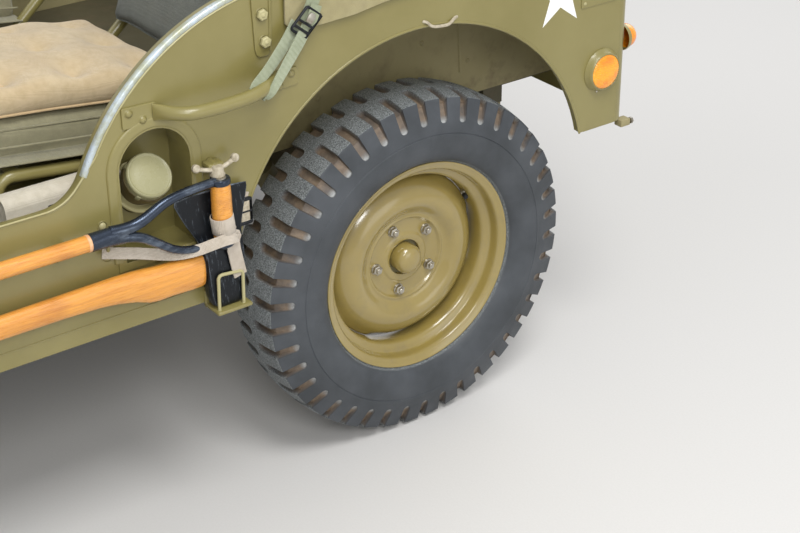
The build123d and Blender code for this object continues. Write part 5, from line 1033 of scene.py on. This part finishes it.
def make_straps():
    """Webbing: the green lashing round the handle and over the rail, and the beige tool strap."""
    piece = Piece()

    def narrowing(share):
        return flat_band(25 * (1 - 0.7 * max(0.0, share - 0.15) / 0.85), 1.9 + 1.6 * share)

    lean = (1, 0.15, 0.1)
    for spots, steps, section, up, tint in (
        (((741, 618, 953), (749, 590, 925), (761, 548, 893), (769, 516, 874), (771, 507, 864), (768, 503, 853),
          (762, 504, 848)), 8, narrowing, lean, "webbing"),
        (((745, 637, 944), (755, 613, 922), (769, 573, 888), (777, 547, 864), (778, 539, 855), (773, 533, 847),
          (765, 532, 845)), 8, narrowing, lean, "webbing"),
        (((748, 636, 941), (750.5, 646, 960), (749.5, 655, 979)), 5, flat_band(23, 1.8), X, "webbing"),
        (((737, 222, 637), (741, 252, 629), (746, 287, 619.5), (751, 320, 609), (757, 352, 601.5), (767, 385, 603),
          (776, 408, 609.5), (782.0, 428, 614), (782.6, 444, 614), (778, 456, 611), (767, 463, 608),
          (757, 464, 603)), 5, flat_band(20, 1.8), (0.94, -0.1, 0.33), "tape"),
        (((774, 455, 613), (771, 453, 600), (769.5, 454.3, 586), (769, 457, 570), (768.5, 461, 549),
          (767, 465.7, 529)), 6, flat_band(26, 3.4), X, "tape"),
        (((748, 466, 615), (741, 480, 625), (737, 489, 640), (736, 496, 655), (736.5, 500, 668)), 5,
         flat_band(20, 2.6), X, "tape"),
    ):
        piece.add(sweep(smooth_path(spots, steps), section, up), tint)
    over = smooth_path([(744, 632, 950), (745, 646, 975), (744.5, 657, 1000), (743.5, 666, 1024), (741, 670, 1038),
                        (733, 673, 1046), (716, 676, 1048), (690, 679, 1047), (672, 681, 1044)], 6)
    piece.add(sweep(over, flat_band(26, 3.0), X, hold=False), "webbing")
    collar = lathe([(-15.5, 18.6), (-15.5, 20.2), (-14.5, 20.9), (14.5, 20.9), (15.5, 20.2), (15.5, 18.6)], 40)
    piece.add(collar, "tape", at(SHOVEL_X, GRIP_Y, 636) @ turned(6, "X"))

    across = Vector((0, 28.3, -22.9)).normalized()
    along = Vector((0, -36.2, -34.0)).normalized()
    buckle = Vector((749.5, 633.0, 952.5))
    half_w, half_l = 18.2, 24.0
    piece.add(sweep(loop(buckle, across * half_w, along * half_l, 5, 4), circle(2.5, 10), X), "black")
    for share, r in ((0.62, 2.7), (0.1, 2.3)):
        middle = buckle + along * (share * half_l) + X * 1.2
        piece.add(sweep([middle - across * half_w, middle + across * half_w], circle(r, 10)), "black")
    tongue = [(-7, -9), (7, -9), (8, 3), (5, 9), (-5, 9), (-8, 3)]
    piece.add(slab(tongue, 2.2, 0.8), "steel", frame_at(buckle - along * 10 + X * 3.2, X, across))

    slider = Vector((739, 498, 632))
    piece.add(sweep(loop(slider, Y * 13, Z * 24, 4, 4), circle(2.4, 10), X), "black")
    piece.add(slab([(-9, -20), (9, -20), (9, 20), (-9, 20)], 2.2, 0.6), "zinc",
              frame_at(slider + X * 0.5, X, Y))
    for z in (-20, 0, 22):
        bar = [slider + Vector((1.5, y, z)) for y in (-13, 13)]
        piece.add(sweep(bar, circle(2.2, 10)), "black")
    return piece.finish("strap_detail", slot="webbing", stands_for=["webbing_straps"], angle=40)


def make_pouch():
    """Canvas pouch beside the driver's place: sagging walls, a flap with a binding and a clip."""
    piece = Piece()
    points, faces = block(44, 196, 196, 14, 4)
    soft = []
    for x, y, z in points:
        if abs(x) > 10:
            x += math.copysign(2.5, x) * (1.0 - (abs(y) / 98) ** 2) * (1.0 - (z / 98) ** 2)
        soft.append((x, y, z))
    piece.add((soft, faces), "pouch", at(630, 200, 626) @ Matrix.Scale(1.06, 4))
    flap = smooth_path([(606, 203, 722), (618, 203, 732), (634, 203, 735), (649, 203, 731), (656.5, 203, 722),
                        (658.5, 203, 706), (659, 203, 690)], 5)
    piece.add(sweep(flap, flat_band(216, 3.2), Z, hold=False), "pouch")
    piece.add(sweep([(660, 95, 689), (660, 203, 689), (660, 311, 689)], circle(2.4, 10)), "canvas")
    piece.add(block(4, 13, 40, 1.5), "black", at(662, 176, 691))
    piece.add(block(5.5, 16, 6, 1.5), "steel", at(662.6, 176, 699))
    return piece.finish("pouch_detail", slot="canvas", stands_for=["seat_pouch"], angle=45)


# Soft goods: each pad swells from a slightly smaller shape by cloth simulation

SIM_FRAMES = 20
PRESSURE = 4.0
SEAT_X = 370
TO_RIGHT = (-2 * SEAT_X, 0, 0)


def remeshed(name, shape, place, voxel, press):
    """A closed shape in its place, in even quads, pressed in by press(x, y, z) in its own frame."""
    points, faces = shape
    mesh = bpy.data.meshes.new(name + "_start")
    mesh.from_pydata([Vector(p) * MM for p in points], [], faces)
    maker = link(mesh, name + "_start")
    even = maker.modifiers.new("even", "REMESH")
    even.mode = "VOXEL"
    even.voxel_size = voxel * MM
    bpy.context.view_layer.update()
    result = bpy.data.meshes.new_from_object(maker.evaluated_get(bpy.context.evaluated_depsgraph_get()))
    bpy.data.objects.remove(maker)
    for v in result.vertices:
        v.co = Vector(press(*(v.co / MM))) * MM
    result.transform(Matrix.LocRotScale(place.translation * MM, place.to_3x3(), None))
    result.name = name
    return result


class Pad:
    """One padded piece: its start, what pins it, and how far it may swell."""

    def __init__(self, name, size, place, material, fill, voxel, cap, press, pinned, copies=(), slot="canvas",
                 stands_for="seat_pads", bevel=18):
        self.place, self.fill, self.cap, self.copies = place, fill, cap, copies
        self.slot, self.stands_for, self.size = slot, stands_for, size
        w, d, t = size
        points, faces = block(w - 8, d - 8, t - 4, bevel, 4)
        shape = ([(x, y + d / 2, z + t / 2) for x, y, z in points], faces)
        mesh = remeshed(name, shape, place, voxel, press)
        mesh.materials.append(finishes[material])
        self.object = link(mesh, name)
        self.start = self.spots()
        group = self.object.vertex_groups.new(name="held")
        group.add([i for i, spot in enumerate(self.start) if pinned(*spot)], 1.0, "REPLACE")
        settings = self.object.modifiers.new("swell", "CLOTH").settings
        settings.use_pressure = True
        settings.uniform_pressure_force = PRESSURE
        settings.effector_weights.gravity = 0.0
        settings.vertex_group_mass = "held"
        settings.quality = 4

    def spots(self, mesh=None):
        """The mesh's points in the pad's own frame."""
        back = self.place.inverted()
        return [back @ (v.co / MM) for v in (mesh or self.object.data).vertices]

    def settle(self):
        posed = self.object.evaluated_get(bpy.context.evaluated_depsgraph_get())
        moved = []
        for start, spot in zip(self.start, self.spots(posed.to_mesh())):
            step = spot - start
            if step.length > self.cap:
                step *= self.cap / step.length
            spot = start + step
            spot.z = max(spot.z, 0.0)
            moved.append(self.place @ spot * MM)
        posed.to_mesh_clear()
        self.object.modifiers.clear()
        for v, spot in zip(self.object.data.vertices, moved):
            v.co = spot
        finer = self.object.modifiers.new("finer", "SUBSURF")
        finer.levels = finer.render_levels = 1
        bpy.context.view_layer.update()
        graph = bpy.context.evaluated_depsgraph_get()
        mesh = bpy.data.meshes.new_from_object(self.object.evaluated_get(graph))
        self.object.modifiers.clear()
        self.object.data = mesh
        mesh.polygons.foreach_set("use_smooth", [True] * len(mesh.polygons))
        pieces = [self.object]
        for name, shift in self.copies:
            twin = mesh.copy()
            twin.transform(Matrix.Translation(Vector(shift) * MM))
            pieces.append(link(twin, name))
        for piece in pieces:
            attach(piece, ROOT)
            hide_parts(self.stands_for)

    def round_seam(self, height, radius, sides=8):
        """A closed cord round the pad's sides at a height in its own frame, found on its surface."""
        tree = BVHTree.FromPolygons(self.spots(), [tuple(f.vertices) for f in self.object.data.polygons])
        w, d, _ = self.size
        path = []
        for i in range(96):
            a, b = squared(2 * math.pi * i / 96, 6)
            aim = Vector((a * w / 2, b * d / 2, 0))
            out = aim.normalized()
            hit = tree.ray_cast(Vector((0, d / 2, height)) + aim * 1.6, -out)[0]
            if hit is not None:
                path.append(self.place @ (hit + out * radius * 0.4))
        return sweep(path + path[:2], circle(radius, sides), Z, hold=False, caps=False)


def crowned(size, crown, pull, tufts=(), dent=0.0):
    """Pressing of a pad: sides drawn in between the corners, a crowned top, dents at its tufts."""
    w, d, t = size

    def press(x, y, z):
        u, v = x / (w / 2), (y - d / 2) / (d / 2)
        share = max(0.0, min(1.0, z / t))
        x -= pull * u * max(0.0, 1 - v * v) * abs(u)
        y -= pull * v * max(0.0, 1 - u * u) * abs(v)
        z += (crown * max(0.0, 1 - u ** 4) * max(0.0, 1 - v ** 4) - 0.45 * crown) * share
        for tx, ty in tufts:
            z -= dent * share * math.exp(-((math.hypot(x - tx, y - ty) / 32.0) ** 1.4))
        return x, y, z

    return press


def tilted(degrees):
    """The directions of a tilted pad: along it to the rear, and out of it."""
    t = math.radians(degrees)
    return Vector((0, math.cos(t), -math.sin(t))), Vector((0, math.sin(t), math.cos(t)))


def make_pads():
    """Cushions and backs of the seats, the rear bench and the pale loose cushion."""
    along, up = tilted(7)
    front_top = Vector((SEAT_X, 95, 836))
    loose_size = (398, 402, 66)
    tufts = [(x, y) for x in (-136, 0, 136) for y in (70, 200, 330)]
    lumpy = crowned(loose_size, 16, 9, tufts, 30)

    def sunken(x, y, z):
        x, y, z = lumpy(x, y, z)
        share = max(0.0, min(1.0, z / 66))
        return x, y, z + share * (9 * x / 199 - 5 - 6 * max(0.0, (y - 260) / 140))

    def at_tuft(x, y, z):
        return z < 5 or (z > 24 and any(math.hypot(x - a, y - b) < 7 for a, b in tufts))

    def pad(name, size, place, material, fill, voxel, cap, crown, hold, copies=()):
        return Pad(name, size, place, material, fill, voxel, cap, crowned(size, crown, 4),
                   lambda x, y, z: z < hold, copies)

    # A back stands on its lower edge: its own z is its thickness, so it is turned a quarter round
    back_along, back_up = tilted(12)
    back_foot = Vector((SEAT_X, 548, 800)) + back_along * 44
    base = pad("cushion_left", (408, 428, 73), axes(X, along, up, front_top - up * 75), "canvas", 0.7, 9, 9, 9, 6,
               [("cushion_right", TO_RIGHT)])
    loose = Pad("cushion_loose", loose_size, axes(X, along, up, front_top + up * 0.8 + along * 8), "cushion", 0.75,
                6, 14, sunken, at_tuft, slot="loose_canvas", stands_for="loose_cushion", bevel=24)
    back = pad("back_left", (408, 298, 43), axes(X, back_up, -back_along, back_foot), "backs", 0.6, 9, 8, 8, 5,
               [("back_right", TO_RIGHT)])
    bench = pad("rear_cushion", (856, 328, 73), at(0, 960, 775), "canvas", 0.7, 10, 9, 9, 6)
    bench_back = pad("rear_back", (856, 188, 48), axes(X, Z, -Y, (0, 1349, 861)), "canvas", 0.6, 10, 8, 8, 5)
    for frame_number in range(1, SIM_FRAMES + 1):
        bpy.context.scene.frame_set(frame_number)
    for each in (base, loose, back, bench, bench_back):
        each.settle()
    bpy.context.scene.frame_set(1)

    seams = Piece()
    seams.add(loose.round_seam(9, 3.0), "piping")
    for each, heights, tint in ((base, (14, 60), "canvas"), (back, (8, 36), "backs"), (bench, (14, 60), "canvas"),
                                (bench_back, (8, 38), "canvas")):
        for height in heights:
            cord = each.round_seam(height, 2.2, 6)
            seams.add(cord, tint)
            for name, shift in each.copies:
                seams.add(cord, tint, Matrix.Translation(shift))
    for side in SIDES:
        hem = smooth_path([(side * SEAT_X + x, y, z) for x, y, z in
                           ((206, 100, 774), (207, 240, 757), (206, 380, 740), (206, 505, 724))], 6)
        seams.add(sweep(hem, flat_band(46, 2.4), Z), "canvas")
        for low in (-23, 23):
            seams.add(sweep([q + Vector((0.8, 0, low)) for q in hem], circle(2.2, 8)), "canvas")
    near = loose.spots()
    for tx, ty in tufts:
        top = max(v.z for v in near if math.hypot(v.x - tx, v.y - ty) < 8)
        seams.add(dome(4.5, 2.5), "piping", loose.place @ at(tx, ty, top - 0.6))
    seams.finish("cushion_seams", slot="canvas", angle=60)


FLAP_START, FLAP_LENGTH = 600, 420
FLAP_ROWS, FLAP_ACROSS = 64, 26
FLAP_HALF, FLAP_HEM = 1.6, 0.9
# The hanging edge of the folded canvas: y, z
FLAP_EDGE = ((600, 952), (604, 947), (652, 936), (742, 939), (816, 948), (930, 958), (1020, 963))


def flap_low(y):
    for (a, za), (b, zb) in zip(FLAP_EDGE, FLAP_EDGE[1:]):
        if y <= b:
            return za + (zb - za) * (y - a) / (b - a)
    return FLAP_EDGE[-1][1]


def make_flap():
    """Canvas folded over the left rail, with a soft hem and small folds."""
    rows, across = FLAP_ROWS, FLAP_ACROSS
    outer, inner = [], []
    for i in range(rows + 1):
        y = FLAP_START + FLAP_LENGTH * i / rows
        low = flap_low(y)
        ripple = math.sin(y / 34.0) * 0.9 + math.sin(y / 13.0 + 1) * 0.4
        fold = ((673, 984), (673.5, 1006), (674, 1028), (678, 1039), (690, 1044), (708, 1044.5), (724, 1043),
                (733.5, 1038), (735.5, 1026), (735 + ripple * 0.3, 1000), (734.5 + ripple, (1000 + low) / 2),
                (734 + ripple, low))
        path = smooth_path([(x, y, z) for x, z in fold], 4)
        last = len(path) - 1
        line = [path[min(int(round(j * last / across)), last)] for j in range(across + 1)]
        for j, spot in enumerate(line):
            ahead = line[min(j + 1, across)] - line[max(j - 1, 0)]
            out = Vector((-ahead.z, 0, ahead.x)).normalized()
            hem = FLAP_HEM if j > across - 3 or i < 2 or i > rows - 2 else 0.0
            outer.append(spot + out * (FLAP_HALF + hem))
            inner.append(spot - out * FLAP_HALF)
    faces = []
    total, wide = len(outer), across + 1
    for a in (i * wide + j for i in range(rows) for j in range(across)):
        faces.append((a, a + 1, a + wide + 1, a + wide))
        faces.append((total + a, total + a + wide, total + a + wide + 1, total + a + 1))
    rim = list(range(wide)) + [i * wide + across for i in range(1, rows + 1)]
    rim += [rows * wide + j for j in range(across - 1, -1, -1)] + [i * wide for i in range(rows - 1, 0, -1)]
    faces += [(a, b, total + b, total + a) for a, b in zip(rim, rim[1:] + rim[:1])]
    piece = Piece().add((outer + inner, faces), "flap")
    piece = piece.finish("canvas_sheet", slot="canvas", stands_for=["canvas_flap"], angle=60)


TANK_X, TANK_Y, TANK_Z = 370, 296.5, 585
CAP_BASE = (696.5, 332.0, 724.5)
CAP_TILT = 50


def make_tank():
    """Fuel tank with its seam, straps, neck, collar and the cap in the recess."""
    piece = Piece()
    piece.add(block(370, 260, 160, 14, 4), "body", at(TANK_X, TANK_Y, TANK_Z))
    seam = loop((TANK_X, TANK_Y, TANK_Z), X * 186, Y * 131, 26, 5)
    piece.add(sweep(seam, flat_band(14, 3), Z, caps=False), "body")
    for x in (280, 460):
        strap = bend([(x, 164, 507), (x, 164, 667), (x, 429, 667), (x, 429, 507)], 16, 4)
        piece.add(sweep(strap, flat_band(28, 2.4), X), "frame")
    cap = frame_at(CAP_BASE, Vector((polar(1, CAP_TILT).y, 0, polar(1, CAP_TILT).x)), Y)
    profile = [(-3, 33), (-3, 39.8), (2, 40.3), (19, 40.2), (22, 40.6), (24.6, 40.3), (26.6, 39.2), (27.4, 37.6),
               (27.0, 36.0), (25.6, 34.6), (25.4, 32), (26.2, 24), (26.9, 14), (27.2, 6), (27.3, TIP)]
    piece.add(lathe(profile, 64), "cap", cap)
    for turn in (45, 135, 225, 315):
        piece.add(block(5, 9, 14, 1.5), "cap", cap @ Matrix.Translation(polar(39.6, turn, 10)) @ turned(turn))
    for profile, sides, tint in (
        ([(-150, 33), (-12, 33), (-10, 35), (-4, 35.4), (-3, 34)], 48, "skirt"),
        ([(-3.4, 40.6), (-3.4, 41.6), (12, 41.5), (12.4, 40.2)], 64, "skirt"),
        ([(-40, 46), (-35.5, 46.8), (-33.6, 45.4), (-33, 43), (-33.4, 40), (-35, 38), (-36, 33)], 56, "pale"),
    ):
        piece.add(lathe(profile, sides), tint, cap)
    return piece.finish("tank_detail", slot="body_paint", stands_for=["fuel_tank"], angle=38)


HAND_WHEEL_R = 208


def make_steering():
    """Steering wheel: thick rim, three spokes of paired rods, a horn button."""
    piece = Piece()
    place = frame_at((345, -75, 1060), (0, 855, 470), X)
    rim = [polar(HAND_WHEEL_R, t) for t in range(0, 361, 5)]
    piece.add(sweep(rim + rim[1:2], circle(11, 14), Z, caps=False), "black", place)
    for turn in range(0, 360, 10):
        spot = Matrix.Translation(polar(HAND_WHEEL_R, turn, -9.5))
        piece.add(dome(4.0, 2.0, 8, 2), "black", place @ spot @ turned(180, "X"))
    for spoke in (90, 210, 330):
        for side in (-7.5, 7.5):
            rod = smooth_path([(24, side * 1.3, -10), (70, side, -7), (150, side, -3), (203, side * 1.1, 0)], 4)
            piece.add(sweep(rod, circle(3.4, 10)), "steel", place @ turned(spoke))
    hub = [(-44, TIP), (-44, 24), (-38, 29.5), (-14, 30), (-4, 30), (0, 27), (3, 20), (4.5, 19), (8, 18), (10.5, 14),
           (12, 6), (12.2, TIP)]
    piece.add(lathe(hub, 40), "black", place)
    piece.add(lathe([(-90, TIP), (-90, 13), (-40, 13), (-40, TIP)], 24), "steel", place)
    return piece.finish("steering_wheel_detail", body="hand_wheel", slot="wheel_rim_black",
                        stands_for=["steering_wheel"], angle=40)


LAMP_X, LAMP_Z, MARKER_Z = 305, 880, 760
BUMPER_FACE_Y = -1660.4


def make_front():
    """Headlamp rims and lenses, marker lamps, beads, bolts and hooks of the front."""
    piece, lid = Piece(), Piece()
    lamp, bead, small = (frame_at((LAMP_X, y, z), -Y, X)
                         for y, z in ((-1332, LAMP_Z), (-1344, LAMP_Z), (-1344, MARKER_Z)))
    for profile, sides, tint, place in (
        ([(-6, 79.5), (2, 79.8), (8, 79), (11.5, 76.5), (12.5, 73.5), (11, 71.5), (8, 71)], 64, "body", lamp),
        ([(8.0, 72)] + round_end(8, 9, 71.6, 8), 56, "lamp", lamp),
        ([(-1, 84.5), (2.2, 85.5), (3.2, 88.5), (2.4, 92), (-1, 94)], 64, "body", bead),
        ([(-1, 27), (4, 27.4), (8, 26), (10, 23)], 40, "body", small),
        ([(7, 23.5)] + round_end(9, 6, 23, 6), 36, "amber", small),
    ):
        piece.pair(lathe(profile, sides), tint, place)
    piece.pair(block(9, 7, 5, 1), "steel", lamp @ at(0, -77, 11))
    for y, x in ((-1180, 435), (-700, 507)):
        lid.pair(block(9, 34, 30, 2), "body", at(x + 3, y, 872))
        lid.pair(block(7, 16, 26, 2.5), "steel", at(x + 8, y, 872))
        lid.pair(dome(6, 4, 14), "steel", frame_at((x + 11, y, 876), X))
    for x in (330, 365, 560, 620):
        for z in (468, 542):
            piece.pair(lathe([(0, 15), (1.6, 14.6), (2.2, 13)], 20), "body", frame_at((x, BUMPER_FACE_Y, z), -Y))
    for x in (350, 600):
        piece.pair(hexagon(20, 2.4, 1), "body", frame_at((x, BUMPER_FACE_Y - 0.2, 505), -Y), smooth=False)
    lid.finish("hood_catches", body="hood_lid", slot="body_paint", angle=38)
    piece.finish("front_detail", slot="body_paint", angle=38)


SCREEN_RAKE = 8
PANE_X, PANE_Z = 336.5, 307.5
PANE_HALF = (317.5, 198.5)


def make_screen():
    """Seals round the panes, outer frame beads, wing clamps, wipers and a row of rivets low on the frame."""
    piece = Piece()
    along, up = tilted(SCREEN_RAKE)
    place = axes(X, up, -along, (0, -352, 1073))
    w, h = PANE_HALF
    for way in (-1, 1):
        x = way * PANE_X
        for level in (-11, 11):
            seal = loop((x, PANE_Z, level), X * w, Y * h, 20, 5)
            piece.add(sweep(seal, circle(3.6, 8), Z, caps=False), "rubber", place)
        bead = loop((x, PANE_Z, 14), X * (w + 9), Y * (h + 9), 26, 5)
        piece.add(sweep(bead, circle(2.2, 6), Z, caps=False), "body", place)
        wiper = smooth_path([(x + way * 10, 520, 17), (x + way * 14, 505, 20), (x + way * 60, 300, 20)], 4)
        piece.add(sweep(wiper, circle(2.2, 8)), "black", place)
        piece.add(sweep([(x + way * 20, 240, 17), (x + way * 100, 360, 17)], [(3, 2), (-3, 2), (-1, -3), (1, -3)], Z),
                  "rubber", place)
        piece.add(lathe([(0, 13), (6, 12), (8, 8), (8.4, TIP)], 20), "body", place @ at(x + way * 10, 520, 14))
        for level in (180, 430):
            piece.add(block(18, 44, 7, 2), "body", place @ at(way * 672, level, 16))
            piece.add(hexagon(14, 4, 1.2), "steel", place @ at(way * 672, level, 19), smooth=False)
    for x in (-450, -225, 0, 225, 450):
        piece.add(dome(6, 3, 14), "body", place @ at(x, 60, 14))
    return piece.finish("screen_detail", body="windshield", slot="body_paint", angle=40)


HOUSE_X = 501.8


def make_inside():
    """Ribs and fittings inside and behind: floor ribs, wheelhouse seams, rear panel ribs and catches."""
    piece = Piece()
    for x in (150, 230, 510, 590):
        piece.pair(sweep([(x, -240, 506), (x, 60, 506)], circle(5, 10, 0.5), Z), "body")
    for x in (HOUSE_X, -HOUSE_X):
        seam = smooth_path([(x, 1154.5, 775), (x, 1157, 720), (x, 1160, 655)], 4)
        piece.add(sweep(seam, circle(3.5, 10)), "inner")
    for y, z in ((1062.9, 740), (1180, 675), (813, 684), (900, 660)):
        piece.pair(dome(6, 3.4, 14), "inner", frame_at((HOUSE_X, y, z), X))
    for x in (500, 560):
        piece.pair(sweep([(x, 1410.4, 640), (x, 1410.4, 960)], circle(5, 10, 0.6), Y), "body")
    for z in (700, 930):
        piece.pair(lathe([(0, 17), (2, 16.4), (3, 14)], 24), "body", frame_at((590, 1410.6, z), Y))
        piece.pair(dome(8, 4, 14), "steel", frame_at((590, 1413, z), Y))
    return piece.finish("inside_detail", slot="body_paint", angle=40)


make_running_gear()
for make in (make_pads, make_flap, make_tank, make_steering, make_front, make_screen, make_inside, make_edges,
             make_handles, make_recess, make_bow_socket, make_markings, make_lamps, make_shovel, make_axe,
             make_tool_mounts, make_straps, make_pouch):
    make()


# Carried-over solids get their materials; those not named here are body paint

NODE_FINISH = {"frame": ("chassis_frame", "axle_front", "axle_rear", "dampers", "knuckle_left", "knuckle_right",
                         "tie_rod", "spare_carrier"),
               "spring": ("leaf_springs", "prop_shafts"),
               "engine": ("engine_block", "gearbox"),
               "exhaust": ("exhaust",),
               "radiator": ("radiator",),
               "glass": ("windshield_glass",),
               "lamp": ("headlamps",),
               "inner": ("wheelhouses",),
               "floor": ("floor_pan",),
               "canvas": ("seat_pads",),
               "cushion": ("loose_cushion",),
               "flap": ("canvas_flap",),
               "black": ("steering_wheel", "steering_column")}
for name, node in nodes.items():
    chosen = next((key for key, names in NODE_FINISH.items() if name in names), "body")
    node.data.materials.clear()
    node.data.materials.append(finishes[chosen])


# Camera, light and floor, in metres

CAMERA_PLACE = (3.032, -0.841, 1.951)
CAMERA_TURN, CAMERA_DOWN, CAMERA_ROLL = 53.88, 28.45, -0.508
FOCAL_LENGTH, SENSOR = 76.12, 36.0
AREA_LAMPS = (("key", (2.6, 0.3, 4.3), 1.5, 105), ("side", (4.4, -1.2, 3.5), 1.3, 75),
              ("fill", (-3.5, -3.5, 4.5), 4.0, 90), ("low", (5.2, 1.6, 0.9), 2.4, 24),
              ("rear", (-1.0, 5.0, 4.0), 3.5, 70))
AIM = Vector((0, 0.2, 0.6))
FLOOR_REACH = 14.0


def make_camera():
    data = bpy.data.cameras.new("camera")
    data.lens = FOCAL_LENGTH
    data.sensor_width = SENSOR
    a, e, roll = (math.radians(v) for v in (CAMERA_TURN, CAMERA_DOWN, CAMERA_ROLL))
    back = Vector((math.sin(a) * math.cos(e), -math.cos(a) * math.cos(e), math.sin(e)))
    right = (-back).cross(Z).normalized()
    up = right.cross(-back)
    camera = link(data, "camera")
    camera.matrix_world = axes(right * math.cos(roll) + up * math.sin(roll),
                               up * math.cos(roll) - right * math.sin(roll), back, CAMERA_PLACE)
    bpy.context.scene.camera = camera


def make_light():
    """A soft sky, a plain backdrop for camera, glossy and transmission rays, and five area lamps."""
    world = bpy.data.worlds.new("studio")
    world.use_nodes = True
    tree = world.node_tree
    glow = tree.nodes["Background"]
    seen = tree.nodes.new("ShaderNodeBackground")
    for node, tint, strength in ((glow, "F2F4F8", 0.7), (seen, "D9DADB", 1.0)):
        node.inputs["Color"].default_value = colour(tint)
        node.inputs["Strength"].default_value = strength
    rays = tree.nodes.new("ShaderNodeLightPath")
    shown = rays.outputs["Is Camera Ray"]
    for kind in ("Glossy", "Transmission"):
        either = tree.nodes.new("ShaderNodeMath")
        either.operation = "MAXIMUM"
        tree.links.new(shown, either.inputs[0])
        tree.links.new(rays.outputs[f"Is {kind} Ray"], either.inputs[1])
        shown = either.outputs[0]
    pick = tree.nodes.new("ShaderNodeMixShader")
    for i, source in enumerate((shown, glow.outputs[0], seen.outputs[0])):
        tree.links.new(source, pick.inputs[i])
    tree.links.new(pick.outputs[0], tree.nodes["World Output"].inputs["Surface"])
    bpy.context.scene.world = world
    for name, spot, size, power in AREA_LAMPS:
        data = bpy.data.lights.new(name, "AREA")
        data.size = size
        data.energy = power
        link(data, name).matrix_world = frame_at(spot, Vector(spot) - AIM)


def make_floor():
    f = Finish("floor", rough=0.8)
    f.colour(f.mix(f.noise(220, 6), "D2D0CC", "DAD8D5"))
    mesh = bpy.data.meshes.new("floor")
    corners = [(x * FLOOR_REACH, y * FLOOR_REACH, 0) for x, y in ((-1, -1), (1, -1), (1, 1), (-1, 1))]
    mesh.from_pydata(corners, [], [(0, 1, 2, 3)])
    mesh.materials.append(f.material)
    floor = link(mesh, "floor")


make_camera()
make_light()
make_floor()
bpy.context.scene.view_settings.view_transform = "Standard"
